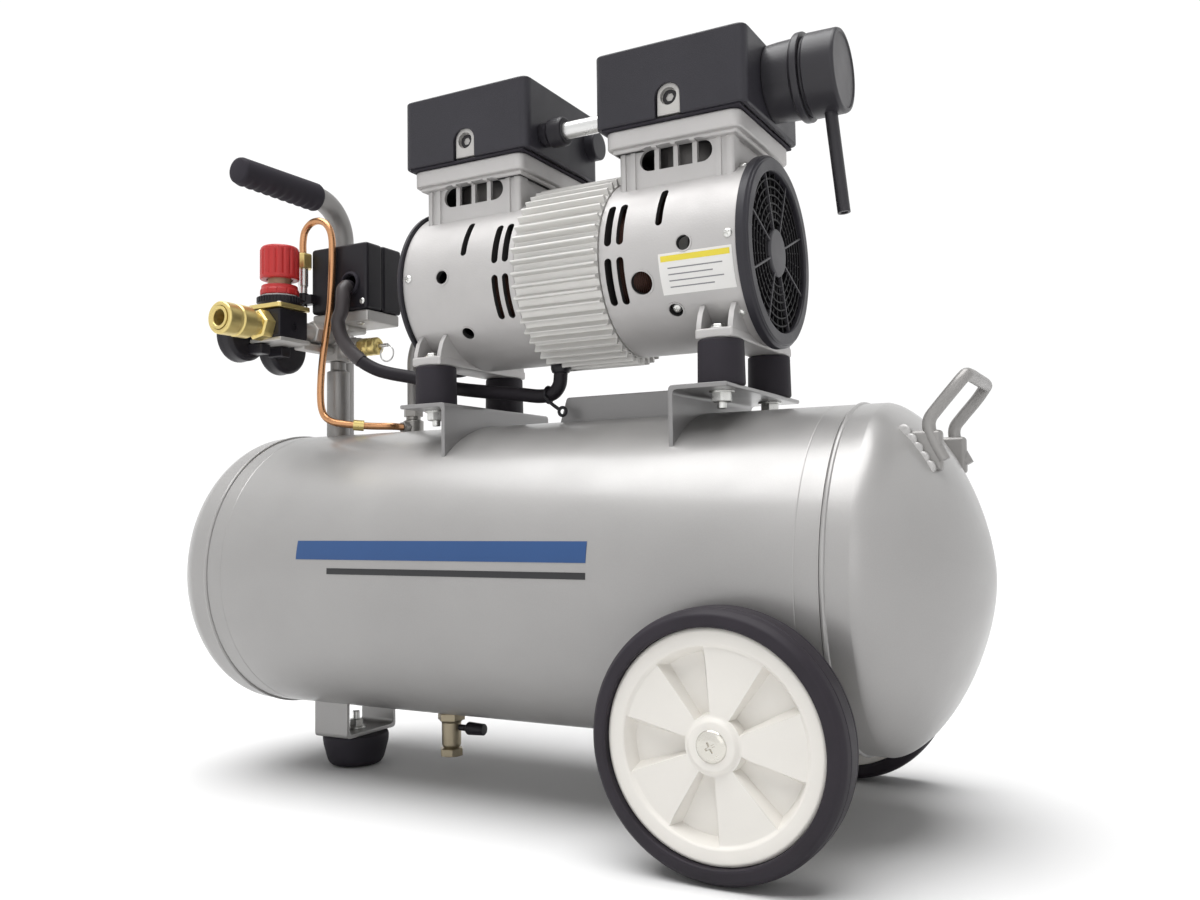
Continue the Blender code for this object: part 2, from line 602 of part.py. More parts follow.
def build_crankcase(name, sign):
    """Bell housing, neck, head flange and feet, cast in one piece."""
    axis = "X" if sign > 0 else "-X"
    centre = (PUMP_X, 0.0, SHAFT_Z)
    head_x = PUMP_X + sign * HEAD_OUT
    case = rod(BELL_R, BELL_IN, BELL_OUT, centre, axis, 40)
    neck = box((head_x - 42.0, -42.0, 415.0), (head_x + 42.0, 42.0, FLANGE_BOTTOM + 1.0))
    flange = box((head_x - 49.0, -50.0, FLANGE_BOTTOM), (head_x + 49.0, 50.0, FLANGE_TOP), 2.5, 1)
    join(case, neck, flange)
    foot_x = PUMP_X + sign * MOUNT_OUT
    join(case, box((foot_x - 13.0, -58.0, FOOT_PAD_BOTTOM), (foot_x + 13.0, 58.0, 318.5)))
    for rib in (-9.0, 9.0):
        join(case, box((foot_x + rib - 2.0, -50.0, 315.0), (foot_x + rib + 2.0, 50.0, 332.0)))
    hollow = rod(BELL_R - 4.0, BELL_IN + 5.0, BELL_OUT + 20.0, centre, axis, 32)
    inside = box((head_x - 38.0, -38.0, 400.0), (head_x + 38.0, 38.0, FLANGE_BOTTOM))
    bore = rod(SLEEVE_R + 0.5, 440.0, FLANGE_TOP + 5.0, (head_x, 0.0, 0.0), "Z", 24)
    bearing = rod(SHAFT_R + 0.4, 0.0, BELL_IN + 10.0, centre, axis, 12)
    cut(case, hollow, inside, bore, bearing)
    for index in range(4):
        window_x = head_x - 19.5 + 13.0 * index
        low = (window_x - 5.0, -60.0, 432.5)
        cut(case, box(low, (window_x + 5.0, 60.0, 447.5)))
    for face in (0.0, 180.0):
        flip = 1.0 if face == 0.0 else -1.0
        for away in (41.0, 50.0):
            for middle, length in ((18.4, 31.0), (-18.6, 32.0)):
                slot = stadium(length, 5.4, 2)
                loop = [(v, u) for u, v in slot]
                cut(case, bell_opening(loop, PUMP_X + sign * away, face + flip * middle))
        loop = [(v, u) for u, v in stadium(30.0, 5.0, 2)]
        cut(case, bell_opening(loop, PUMP_X + sign * 78.0, face + flip * 26.5))
        cut(case, bell_opening(circle(4.8, 8), PUMP_X + sign * 96.0, face - flip * 0.4))
        cut(case, bell_opening(circle(4.8, 8), PUMP_X + sign * 83.5, face - flip * 41.0))
    if sign > 0:
        cut(case, bell_opening(circle(7.8, 12), PUMP_X + 64.0, -21.2))
    keep(case, name, "pump_silver")


def build_motor_housing():
    """Extruded aluminium body with cooling fins all round."""
    fins = 48
    root, tip = 61.0, 67.5
    pitch = 360.0 / fins
    loop = []
    for index in range(fins):
        start = index * pitch
        for radius, part in ((root, 0.0), (tip, 0.34), (tip, 0.62)):
            angle = math.radians(start + part * pitch)
            loop.append((radius * math.cos(angle), radius * math.sin(angle)))
    length = 2 * (BELL_IN - GAP)
    centre = (PUMP_X, 0.0, SHAFT_Z)
    keep(outline([loop, circle(55.0, 24)], length, centre, "X"), "motor_housing", "cast_aluminium")
    stator = pipe(54.5, 31.2, -26.0, 26.0, centre, "X", 24)
    keep(stator, "stator", "laminations")


def build_rotor(spin):
    centre = (PUMP_X, 0.0, SHAFT_Z)
    core_r, core, end = 30.3, 26.0, 130.0
    profile = [(0.0, end), (SHAFT_R, end), (SHAFT_R, core), (core_r, core)]
    profile += [(core_r, -core), (SHAFT_R, -core), (SHAFT_R, -end), (0.0, -end)]
    shaft = turned(profile, centre, "X", 20)
    for sign in (-1, 1):
        at = (PUMP_X + sign * HEAD_OUT, sign * -THROW, SHAFT_Z)
        join(shaft, rod(ECCENTRIC_R, -6.0, 6.0, at, "X", 18))
    keep(shaft, "rotor_shaft", "bright_steel", spin)


def build_fan(name, sign, spin):
    axis = "X" if sign > 0 else "-X"
    centre = (PUMP_X, 0.0, SHAFT_Z)
    middle = 119.0
    fan = pipe(15.0, SHAFT_R + GAP, middle - 6.0, middle + 6.0, centre, axis, 12)
    blades = 7
    for index in range(blades):
        blade = box((13.0, -7.5, -0.9), (46.5, 7.5, 0.9))
        turn = Matrix.Rotation(2 * math.pi * index / blades, 4, "X")
        lift = Matrix.Rotation(math.radians(-90.0), 4, "Y") @ Matrix.Rotation(math.radians(-55.0), 4, "X")
        shift = Matrix.Translation(Vector((PUMP_X + sign * middle, 0.0, SHAFT_Z)) * MM)
        blade.matrix_world = shift @ turn @ lift @ Matrix.Translation(blade.location)
        join(fan, blade)
    keep(fan, name, "black_plastic", spin)


def build_guard(name, sign):
    """Round fan grille: eight spokes, one inner ring and a hub."""
    windows = []
    spokes = 8
    for inner, outer in ((16.0, 34.5), (36.5, 54.7)):
        for index in range(spokes):
            middle = 360.0 * index / spokes
            half = 360.0 / spokes / 2 - math.degrees(1.3 / inner)
            windows.append(sector(inner, outer, middle - half, middle + half, 2))
    thickness = 7.8 if sign > 0 else 4.8
    at = (PUMP_X + sign * (BELL_OUT + GAP + thickness / 2), 0.0, SHAFT_Z)
    keep(outline([circle(64.6, 32), *windows], thickness, at, "X"), name, "charcoal")


def build_head(side, sign):
    head_x = PUMP_X + sign * HEAD_OUT
    wide, deep = COVER_SIZE
    low = (head_x - wide / 2, -deep / 2, COVER_BOTTOM)
    cover = box(low, (head_x + wide / 2, deep / 2, COVER_TOP), 4.0, 2)
    room = box((low[0] + 5, low[1] + 5, COVER_BOTTOM - 5), (-low[0] + 2 * head_x - 5, deep / 2 - 5, COVER_TOP - 5))
    cut(cover, room)
    notch = [(-9.5, -5.0), (9.5, -5.0)] + arc(9.5, 0.0, 180.0, 6, (0.0, 13.0))
    for y in (-deep / 2, deep / 2):
        cut(cover, outline([notch], 16.0, (head_x, y, COVER_BOTTOM), "-Y"))
    if sign < 0:
        join(cover, rod(11.0, -2.0, 8.0, (head_x + wide / 2, 41.0, 489.0), "X", 16))
    keep(cover, "head_cover_" + side, "charcoal")
    plate = box((head_x - 49.0, -50.0, FLANGE_TOP + GAP), (head_x + 49.0, 50.0, COVER_BOTTOM - GAP))
    block = box((head_x - 40.0, -44.0, COVER_BOTTOM - 1.0), (head_x + 40.0, 44.0, 492.0), 3.0, 1)
    keep(join(plate, block), "cylinder_head_" + side, "cast_aluminium")


def build_cylinder(side, sign, ride):
    """Sleeve and rocking piston; the big end has room for the whole orbit of the eccentric."""
    x = PUMP_X + sign * HEAD_OUT
    sleeve = pipe(SLEEVE_R, PISTON_R + 0.6, 424.0, FLANGE_TOP, (x, 0.0, 0.0), "Z", 20)
    keep(sleeve, "cylinder_" + side, "bright_steel")
    crown = 450.0
    ring = pipe(BIG_END_R + 5.0, BIG_END_R, -5.0, 5.0, (x, 0.0, SHAFT_Z), "X", 20)
    stalk = box((x - 4.5, -8.0, SHAFT_Z + BIG_END_R + 2.0), (x + 4.5, 8.0, crown - 6.0))
    join(ring, stalk, rod(PISTON_R, crown - 8.0, crown, (x, 0.0, 0.0), "Z", 20))
    keep(ring, "piston_" + side, "cast_aluminium", ride)


def build_air_path():
    y, z = -30.0, 476.7
    reach = HEAD_OUT - COVER_SIZE[0] / 2 - GAP
    link = [(0.0, reach), (5.8, reach), (5.8, -8.5), (10.5, -10.0), (10.5, -reach), (0.0, -reach)]
    keep(turned(link, (PUMP_X, y, z), "X", 16), "cross_tube", "bright_steel")
    start = HEAD_OUT + COVER_SIZE[0] / 2 + GAP
    at = (PUMP_X, 0.0, 490.8)
    seam = 162.6
    base = [(0.0, seam), (29.5, seam), (29.5, 157.0), (27.0, 156.0), (26.0, start), (0.0, start)]
    keep(turned(base, at, "X", 24), "filter_base", "black_plastic")
    cap = [(0.0, 187.0), (25.5, 187.0), (27.5, 185.0), (27.8, seam + GAP), (0.0, seam + GAP)]
    spout = as_mesh(tube([(221.0, 0.0, 470.0), (221.6, 0.0, 462.0), (228.3, 0.0, 395.8)], 3.9, 3))
    keep(join(turned(cap, at, "X", 24), spout), "filter_cap", "black_plastic")


def build_pump():
    spin = pivot("shaft_axis", PUMP_X, 0.0, SHAFT_Z)
    build_motor_housing()
    build_rotor(spin)
    for side, sign in (("left", -1), ("right", 1)):
        build_crankcase("crankcase_" + side, sign)
        build_guard("fan_guard_" + side, sign)
        build_fan("fan_" + side, sign, spin)
        build_head(side, sign)
        ride = pivot("piston_axis_" + side, PUMP_X + sign * HEAD_OUT, 0.0, SHAFT_Z)
        build_cylinder(side, sign, ride)
        build_saddle("saddle_" + side, sign)
    build_mounts()
    build_air_path()


build_tank()
build_carry_handle()
build_drain()
for wheel_name, wheel_sign in (("front", -1), ("back", 1)):
    build_wheel(wheel_name, wheel_sign)
    build_wheel_bracket(wheel_name, wheel_sign)
build_foot()
build_push_handle()
build_manifold()
build_switch()
build_safety_valve()
build_regulator()
build_coupler()
build_gauge("gauge_tank", -31.0, 341.6, 21.5, -49.0)
build_gauge("gauge_line", -75.0, 346.4, 20.5, -71.0)
build_check_valve()
build_lines()
build_pump()
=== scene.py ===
"""Looks of the wheeled air compressor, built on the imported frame.

Sizes are millimetres in the frame's own axes: +X runs along the tank to the wheel end, +Y to
the back, +Z up, with the origin on the ground under the tank's middle.
"""
import math

import bmesh
import bpy
from mathutils import Matrix, Vector


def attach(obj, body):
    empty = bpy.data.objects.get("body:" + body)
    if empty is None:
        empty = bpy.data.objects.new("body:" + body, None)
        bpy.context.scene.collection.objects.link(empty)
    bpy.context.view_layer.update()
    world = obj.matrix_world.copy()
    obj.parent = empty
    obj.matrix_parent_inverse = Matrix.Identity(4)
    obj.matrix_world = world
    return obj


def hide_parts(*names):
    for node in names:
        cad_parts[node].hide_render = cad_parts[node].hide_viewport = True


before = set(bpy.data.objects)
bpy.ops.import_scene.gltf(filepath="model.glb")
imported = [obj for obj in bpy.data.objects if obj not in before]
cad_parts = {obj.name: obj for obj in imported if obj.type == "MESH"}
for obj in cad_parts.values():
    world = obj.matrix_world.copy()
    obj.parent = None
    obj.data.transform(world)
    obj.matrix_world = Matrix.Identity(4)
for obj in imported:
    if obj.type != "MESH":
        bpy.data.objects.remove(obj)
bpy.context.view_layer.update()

MM = 0.001
FRAME = "frame"

# ---- driving dimensions, as in the frame -----------------------------------------------------
TANK_R, TANK_Z, TANK_SEAM_X = 110.0, 159.0, 238.65
SKIRT, DOME_DEPTH, DOME_POWER = 16.0, 60.0, 1.6
WHEEL_X, WHEEL_R, WHEEL_IN_Y, WHEEL_OUT_Y, DISC_R, AXLE_R = 185.8, 75.0, 111.5, 142.5, 64.2, 7.0
WHEEL_FACE_Y = WHEEL_OUT_Y - 2.5
FOOT_X, FOOT_TOP = -188.5, 24.7
PUMP_X, SHAFT_Z = 44.3, 375.0
BELL_R, BELL_IN, BELL_OUT, HEAD_OUT = 62.0, 33.6, 132.2, 82.4
COVER_WIDE, COVER_DEEP, COVER_BOTTOM, COVER_TOP = 110.2, 105.5, 463.1, 514.9
FLANGE_BOTTOM, FLANGE_TOP = 449.0, 461.0
MOUNT_OUT, MOUNT_Y, SADDLE_TOP = 114.0, 45.5, 282.2
SADDLE_IN, SADDLE_TIP, PAD_BOTTOM = 90.5, 127.7, 311.8
RISER = (-207.5, 0.0)
REGULATOR = (-214.5, -60.0)
AIR_Z = 352.5
HANDLE_X, HANDLE_Y, HANDLE_R, GRIP_Z = -234.0, 35.0, 9.5, 478.0
GRIP_END_Y = 1.0
CHECK_VALVE = (-149.0, 27.0)
DRAIN_X, DRAIN_KNOB_Z = -91.6, 37.0

ORIGIN = (0.0, 0.0, 0.0)
TURNS = {
    "Z": ORIGIN,
    "-Z": (math.pi, 0.0, 0.0),
    "X": (0.0, math.pi / 2, 0.0),
    "-X": (0.0, -math.pi / 2, 0.0),
    "Y": (-math.pi / 2, 0.0, 0.0),
    "-Y": (math.pi / 2, 0.0, 0.0),
}


# ---- materials -------------------------------------------------------------------------------
MAT = {}


class Nodes:
    """A material's node tree, with short calls to add and link nodes."""

    def __init__(self, name):
        self.material = MAT[name] = bpy.data.materials.new(name)
        self.material.use_nodes = True
        self.tree = self.material.node_tree
        self.shader = self.tree.nodes["Principled BSDF"]
        self.place = self.tree.nodes.new("ShaderNodeTexCoord").outputs["Object"]

    def put(self, value, socket):
        """Link another node's output to a socket, or set the socket's own value."""
        if isinstance(value, bpy.types.NodeSocket):
            self.tree.links.new(value, socket)
        else:
            socket.default_value = value

    def add(self, kind, inputs):
        node = self.tree.nodes.new(kind)
        for key, value in inputs.items():
            self.put(value, node.inputs[key])
        return node

    def noise(self, scale, detail=3.0, stretch=None):
        place = self.place
        if stretch:
            place = self.add("ShaderNodeMapping", {"Vector": place, "Scale": stretch}).outputs[0]
        inputs = {"Vector": place, "Scale": scale, "Detail": detail}
        return self.add("ShaderNodeTexNoise", inputs).outputs[0]

    def spread(self, value, low, high, start=0.3, end=0.7):
        """Map a 0 to 1 value from start..end onto low..high."""
        inputs = {"Value": value, "From Min": start, "From Max": end, "To Min": low, "To Max": high}
        return self.add("ShaderNodeMapRange", inputs).outputs[0]

    def mix(self, factor, first, second):
        node = self.tree.nodes.new("ShaderNodeMix")
        node.data_type = "RGBA"
        for socket, value in zip((node.inputs[0], node.inputs[6], node.inputs[7]), (factor, first, second)):
            self.put(value, socket)
        return node.outputs[2]

    def bump(self, height, strength, distance, normal=None):
        inputs = {"Height": height, "Strength": strength, "Distance": distance}
        if normal:
            inputs["Normal"] = normal
        return self.add("ShaderNodeBump", inputs).outputs[0]

    def feed(self, **sockets):
        """Fill the shader's sockets, named with _ for each space, and return the material."""
        for key, value in sockets.items():
            self.put(value, self.shader.inputs[key.replace("_", " ")])
        return self.material


def shade(colour, factor):
    """A lighter or darker tone of a colour, with full opacity."""
    return tuple(min(1.0, channel * factor) for channel in colour) + (1.0,)


def surface(name, colour, roughness, metallic=0.0, tone=0.06, grain=0.25, grain_scale=900.0,
            gloss=0.06, shine=0.5):
    """A finish with uneven tone, uneven gloss and a fine grain in its surface."""
    n = Nodes(name)
    cloudy = n.noise(14.0, 4.0)
    base = n.mix(n.spread(cloudy, 0.0, 1.0), shade(colour, 1 - tone), shade(colour, 1 + tone))
    rough = n.spread(n.noise(43.4, 5.0), roughness - gloss, roughness + gloss)
    normal = n.bump(n.noise(grain_scale, 2.0), grain, 0.0003)
    return n.feed(Base_Color=base, Roughness=rough, Metallic=metallic, Normal=normal,
                  Specular_IOR_Level=shine)


def brushed(name, colour, roughness, stretch):
    """Metal with fine turning or drawing marks along one direction."""
    n = Nodes(name)
    lines = n.noise(420.0, 3.0, stretch)
    base = n.mix(n.spread(n.noise(22.0, 4.0), 0.0, 1.0), shade(colour, 0.9), shade(colour, 1.08))
    rough = n.spread(lines, roughness - 0.05, roughness + 0.1)
    return n.feed(Base_Color=base, Roughness=rough, Metallic=1.0, Normal=n.bump(lines, 0.12, 0.0002))


def silver_paint(name, tone):
    """Silver metallic paint under a clear coat: flakes and a faint orange peel."""
    n = Nodes(name)
    flakes = n.add("ShaderNodeTexVoronoi", {"Vector": n.place, "Scale": 1500.0}).outputs["Distance"]
    cloudy = n.noise(7.0, 4.0)
    base = n.mix(n.spread(cloudy, 0.0, 1.0), shade(tone, 0.93), shade(tone, 1.07))
    base = n.mix(n.spread(flakes, 0.10, 0.0, 0.1, 0.6), base, shade(tone, 1.4))
    peel = n.bump(n.noise(230.0, 2.0), 0.10, 0.0004)
    rough = n.spread(n.noise(30.0, 4.0), 0.34, 0.44)
    normal = n.bump(flakes, 0.05, 0.0001, peel)
    return n.feed(Base_Color=base, Roughness=rough, Metallic=0.35, Normal=normal, Coat_Weight=0.5,
                  Coat_Roughness=0.2)


def raw_weld():
    n = Nodes("weld")
    beads = n.noise(160.0, 3.0)
    base = n.mix(n.spread(beads, 0.0, 1.0), (0.36, 0.355, 0.35, 1.0), (0.52, 0.51, 0.50, 1.0))
    return n.feed(Base_Color=base, Roughness=0.42, Metallic=0.4, Normal=n.bump(beads, 0.5, 0.0015))


def cast(name, colour, roughness=0.46, metallic=0.45):
    """Painted or bare casting with a fine pebbled skin."""
    n = Nodes(name)
    cloudy = n.noise(16.0, 5.0)
    base = n.mix(n.spread(cloudy, 0.0, 1.0), shade(colour, 0.94), shade(colour, 1.05))
    skin = n.bump(cloudy, 0.04, 0.002, n.bump(n.noise(750.0, 3.0), 0.22, 0.0004))
    rough = n.spread(n.noise(55.0, 4.0), roughness - 0.06, roughness + 0.08)
    return n.feed(Base_Color=base, Roughness=rough, Metallic=metallic, Normal=skin)


def rubber(name, colour, roughness=0.68):
    """Black rubber with a grey bloom."""
    n = Nodes(name)
    dusty = n.noise(26.0, 6.0)
    base = n.mix(n.spread(dusty, 0.0, 0.5, 0.35, 0.8), shade(colour, 0.85), shade(colour, 1.6))
    rough = n.spread(dusty, roughness - 0.08, roughness + 0.1)
    return n.feed(Base_Color=base, Roughness=rough, Normal=n.bump(n.noise(1100.0, 2.0), 0.2, 0.0003),
                  Specular_IOR_Level=0.2)


def clear_pane():
    """Thin clear pane with faint wiping marks."""
    n = Nodes("glass")
    marks = n.noise(60.0, 4.0)
    tone = n.mix(n.spread(marks, 0.0, 1.0), (0.84, 0.87, 0.87, 1.0), (0.92, 0.94, 0.94, 1.0))
    return n.feed(Base_Color=tone, Roughness=n.spread(marks, 0.04, 0.09), Alpha=n.spread(marks, 0.13, 0.17))


silver_paint("tank_paint", (0.322, 0.315, 0.310))
# a darker copy of the tank paint: painted shade for the saddles and rail under the pump
silver_paint("shade_darkened_paint", (0.24, 0.235, 0.235))
raw_weld()
cast("pump_silver", (0.48, 0.468, 0.462), 0.52)
cast("cast_aluminium", (0.48, 0.468, 0.452), 0.50, 0.55)
cast("fin_aluminium", (0.62, 0.61, 0.59), 0.48, 0.4)
surface("grey_steel", (0.27, 0.262, 0.255), 0.42, 0.45)
brushed("zinc", (0.66, 0.66, 0.64), 0.30, (1.0, 6.0, 1.0))
surface("cap_steel", (0.62, 0.60, 0.55), 0.26, 0.9, 0.14, 0.4, 300.0)
surface("bright_steel", (0.70, 0.70, 0.69), 0.28, 0.85, 0.05, 0.1, 300.0, 0.03)
surface("charcoal", (0.028, 0.0265, 0.033), 0.40, 0.0, 0.10, 0.35, 1300.0, shine=0.28)
surface("black_plastic", (0.018, 0.0165, 0.0205), 0.34, 0.0, 0.12, 0.2, 1200.0, shine=0.22)
surface("filter_plastic", (0.030, 0.0285, 0.033), 0.36, 0.0, 0.08, 0.25, 1200.0, shine=0.3)
surface("filter_face", (0.095, 0.092, 0.097), 0.48, 0.0, 0.08, 0.3, 1000.0, shine=0.3)
rubber("black_rubber", (0.025, 0.022, 0.029))
rubber("tyre_rubber", (0.024, 0.020, 0.026), 0.50)
rubber("mount_rubber", (0.026, 0.0225, 0.029), 0.60)
rubber("cable_sleeve", (0.016, 0.0135, 0.0175), 0.48)
surface("jacket", (0.052, 0.045, 0.047), 0.42, 0.0, 0.12, 0.3, 500.0, shine=0.3)
surface("white_plastic", (0.75, 0.725, 0.68), 0.42, 0.0, 0.03, 0.15, 500.0)
surface("red_plastic", (0.50, 0.030, 0.030), 0.34, 0.0, 0.08, 0.2, 900.0, shine=0.35)
surface("neck_brass", (0.42, 0.26, 0.16), 0.45, 0.2)
surface("brass", (0.70, 0.56, 0.22), 0.30, 0.75, 0.06, 0.03, 500.0, 0.03)
surface("dull_brass", (0.36, 0.31, 0.22), 0.38, 0.8, 0.15, 0.4, 500.0)
brushed("copper", (0.52, 0.27, 0.135), 0.30, (1.0, 1.0, 6.0))
# painted shade: dark finish for the unlit inside of the bells and necks
surface("painted_shade_cavity", (0.018, 0.017, 0.017), 0.75, 0.0, 0.3, 0.5, 200.0)
surface("worn_steel", (0.085, 0.08, 0.078), 0.42, 0.6, 0.3, 0.3, 400.0)
brushed("laminations", (0.32, 0.32, 0.33), 0.45, (30.0, 1.0, 1.0))
surface("dark_steel", (0.014, 0.013, 0.015), 0.36, 0.3)
surface("valve_steel", (0.30, 0.29, 0.275), 0.36, 0.7, 0.15, 0.3, 400.0)
surface("grille_black", (0.007, 0.0065, 0.008), 0.5, 0.0, 0.1, 0.2, 900.0, shine=0.12)
surface("spoke_grey", (0.05, 0.048, 0.054), 0.40, 0.0, 0.1, 0.2, 900.0, shine=0.3)
surface("label_white", (0.80, 0.79, 0.77), 0.38, 0.0, 0.02, 0.05, 300.0)
surface("label_yellow", (0.80, 0.66, 0.05), 0.38, 0.0, 0.03, 0.05, 300.0)
surface("label_grey", (0.22, 0.22, 0.23), 0.42, 0.0, 0.03, 0.05, 300.0)
surface("decal_blue", (0.012, 0.060, 0.19), 0.34, 0.0, 0.04, 0.05, 300.0)
surface("decal_black", (0.010, 0.010, 0.012), 0.36, 0.0, 0.04, 0.05, 300.0)
clear_pane()
surface("winding", (0.060, 0.026, 0.018), 0.40, 0.6, 0.35, 0.5, 700.0)


# ---- mesh helpers ----------------------------------------------------------------------------
def link(mesh, name):
    """Add a mesh to the scene as an object."""
    obj = bpy.data.objects.new(name, mesh)
    bpy.context.scene.collection.objects.link(obj)
    return obj


def baked(obj):
    """Fold an object's modifiers into its mesh."""
    bpy.context.view_layer.update()
    evaluated = obj.evaluated_get(bpy.context.evaluated_depsgraph_get())
    mesh = bpy.data.meshes.new_from_object(evaluated)
    if obj.type == "MESH":
        obj.modifiers.clear()
        obj.data = mesh
        return obj
    shape = bmesh.new()
    shape.from_mesh(mesh)
    bmesh.ops.remove_doubles(shape, verts=shape.verts, dist=0.000005)
    shape.to_mesh(mesh)
    shape.free()
    swapped = link(mesh, obj.name)
    swapped.matrix_world = obj.matrix_world.copy()
    bpy.data.objects.remove(obj, do_unlink=True)
    return swapped


def settled(obj):
    """Move an object's own place into its mesh, so its origin is the frame's."""
    bpy.context.view_layer.update()
    obj.data.transform(obj.matrix_world)
    obj.matrix_world = Matrix.Identity(4)
    return obj


def placed(obj, at, axis="Z"):
    """Turn a shape made along Z to another axis and move it to at."""
    obj.location = [value * MM for value in at]
    obj.rotation_euler = TURNS[axis]
    return settled(obj)


def spun(obj, degrees):
    """Turn a shape about the Z axis."""
    obj.rotation_euler = (0.0, 0.0, math.radians(degrees))
    return settled(obj)


def from_bmesh(shape, name):
    mesh = bpy.data.meshes.new(name)
    shape.to_mesh(mesh)
    shape.free()
    return link(mesh, name)


def toward(letter, sign):
    """The axis's name on the side of sign."""
    return letter if sign > 0 else "-" + letter


def combine(target, others, operation):
    for other in others:
        modifier = target.modifiers.new(operation.title(), "BOOLEAN")
        modifier.operation = operation
        modifier.solver = "EXACT"
        modifier.object = other
    baked(target)
    for other in others:
        bpy.data.objects.remove(other, do_unlink=True)
    return target


def cut(target, *others):
    return combine(target, others, "DIFFERENCE")


def join(target, *others):
    return combine(target, others, "UNION")


def merge(target, *others):
    """Put several pieces in one object without cutting them into each other."""
    settled(target)
    shape = bmesh.new()
    shape.from_mesh(target.data)
    for other in others:
        settled(other)
        shape.from_mesh(other.data)
        bpy.data.objects.remove(other, do_unlink=True)
    shape.to_mesh(target.data)
    shape.free()
    return target


def soften(obj, width, segments=2, angle=30.0):
    """Round an object's sharp edges."""
    modifier = obj.modifiers.new("Edges", "BEVEL")
    modifier.width = width * MM
    modifier.segments = segments
    modifier.limit_method = "ANGLE"
    modifier.angle_limit = math.radians(angle)
    modifier.use_clamp_overlap = True
    modifier.miter_outer = "MITER_ARC"
    return baked(obj)


def box(low, high, bevel=0.0, segments=3):
    """A block between two opposite corners."""
    shape = bmesh.new()
    bmesh.ops.create_cube(shape, size=1.0)
    size = [(top - bottom) * MM for bottom, top in zip(low, high)]
    bmesh.ops.scale(shape, vec=size, verts=shape.verts)
    middle = [(top + bottom) * MM / 2 for bottom, top in zip(low, high)]
    bmesh.ops.translate(shape, vec=middle, verts=shape.verts)
    obj = from_bmesh(shape, "block")
    return soften(obj, bevel, segments) if bevel else obj


def turned(profile, at, axis="Z", steps=96, ring=False):
    """Turn (radius, height) points, listed down the outer side, about an axis through at."""
    shape = bmesh.new()
    rings = []
    for radius, height in profile:
        if radius <= 0.0:
            rings.append([shape.verts.new((0.0, 0.0, height * MM))] * steps)
            continue
        spots = []
        for step in range(steps):
            angle = 2 * math.pi * step / steps
            across = radius * math.cos(angle) * MM
            along = radius * math.sin(angle) * MM
            spots.append(shape.verts.new((across, along, height * MM)))
        rings.append(spots)
    pairs = list(zip(rings, rings[1:]))
    if ring:
        pairs.append((rings[-1], rings[0]))
    for upper, lower in pairs:
        for step in range(steps):
            corners = [upper[step], lower[step], lower[(step + 1) % steps], upper[(step + 1) % steps]]
            face = [spot for index, spot in enumerate(corners) if spot not in corners[:index]]
            if len(face) > 2:
                shape.faces.new(face)
    shape.normal_update()
    return placed(from_bmesh(shape, "turned"), at, axis)


def rounded(profile, radius, count=3, closed=False):
    """Round the corners of a list of (across, along) points."""
    result = []
    last = len(profile) - 1
    for index, point in enumerate(profile):
        if not closed and index in (0, last):
            result.append(point)
            continue
        here = Vector(point)
        before = Vector(profile[index - 1]) - here
        after = Vector(profile[(index + 1) % len(profile)]) - here
        reach = min(radius, before.length * 0.45, after.length * 0.45)
        start = here + before.normalized() * reach
        end = here + after.normalized() * reach
        for step in range(count + 1):
            t = step / count
            spot = start * (1 - t) ** 2 + here * (2 * t * (1 - t)) + end * t ** 2
            result.append((max(spot.x, 0.0), spot.y) if not closed else (spot.x, spot.y))
    return result


def lathe(profile, radius, at, axis, steps, count=3, ring=False):
    """A turned shape with rounded corners."""
    return turned(rounded(profile, radius, count, closed=ring), at, axis, steps, ring)


def counterclockwise(loop):
    """The same outline, listed counterclockwise."""
    area = sum(a[0] * b[1] - b[0] * a[1] for a, b in zip(loop, loop[1:] + loop[:1]))
    return loop if area > 0 else loop[::-1]


def rod(radius, start, end, at, axis="Z", steps=48, chamfer=0.0):
    profile = [(0.0, end), (radius, end), (radius, start), (0.0, start)]
    if chamfer:
        profile = rounded(profile, chamfer)
    return turned(profile, at, axis, steps)


def hexagon(across, start, end, at, axis="Z", turn=0.0, chamfer=0.6):
    """A hexagon bar or nut, across its flats, with chamfered corners at its far end."""
    radius = across / math.sqrt(3.0)
    profile = [(0.0, end), (radius * 0.87, end), (radius, end - chamfer), (radius, start), (0.0, start)]
    obj = spun(turned(profile, ORIGIN, "Z", 6), turn)
    return soften(placed(obj, at, axis), 0.35, 2, 20.0)


def arc(radius, start, end, count, centre=(0.0, 0.0)):
    """Points on an arc, angles in degrees."""
    angles = [math.radians(start + (end - start) * step / count) for step in range(count + 1)]
    return [(centre[0] + radius * math.cos(a), centre[1] + radius * math.sin(a)) for a in angles]


def circle(radius, count, centre=(0.0, 0.0)):
    return arc(radius, 0.0, 360.0, count, centre)[:-1]


def sector(inner, outer, start, end, count):
    """Outline of a slice of a ring."""
    return arc(outer, start, end, count) + arc(inner, end, start, count)


def stadium(length, width):
    """Outline of a slot with round ends."""
    half = (length - width) / 2
    left = arc(width / 2, 90.0, 270.0, 8, (-half, 0.0))
    return left + arc(width / 2, -90.0, 90.0, 8, (half, 0.0))


def outline(loops, thickness, at=ORIGIN, axis="Z", edge=0.0):
    """A flat shape of one outer loop and any holes, thickness thick about at, edges rounded."""
    curve = bpy.data.curves.new("outline", "CURVE")
    curve.dimensions = "2D"
    curve.fill_mode = "BOTH"
    curve.extrude = (thickness / 2 - edge) * MM
    curve.bevel_depth = edge * MM
    curve.bevel_resolution = 2
    curve.offset = -edge * MM
    for loop in loops:
        spline = curve.splines.new("POLY")
        spline.points.add(len(loop) - 1)
        for spot, (across, along) in zip(spline.points, loop):
            spot.co = (across * MM, along * MM, 0.0, 1.0)
        spline.use_cyclic_u = True
    obj = bpy.data.objects.new("outline", curve)
    bpy.context.scene.collection.objects.link(obj)
    return placed(baked(obj), at, axis)


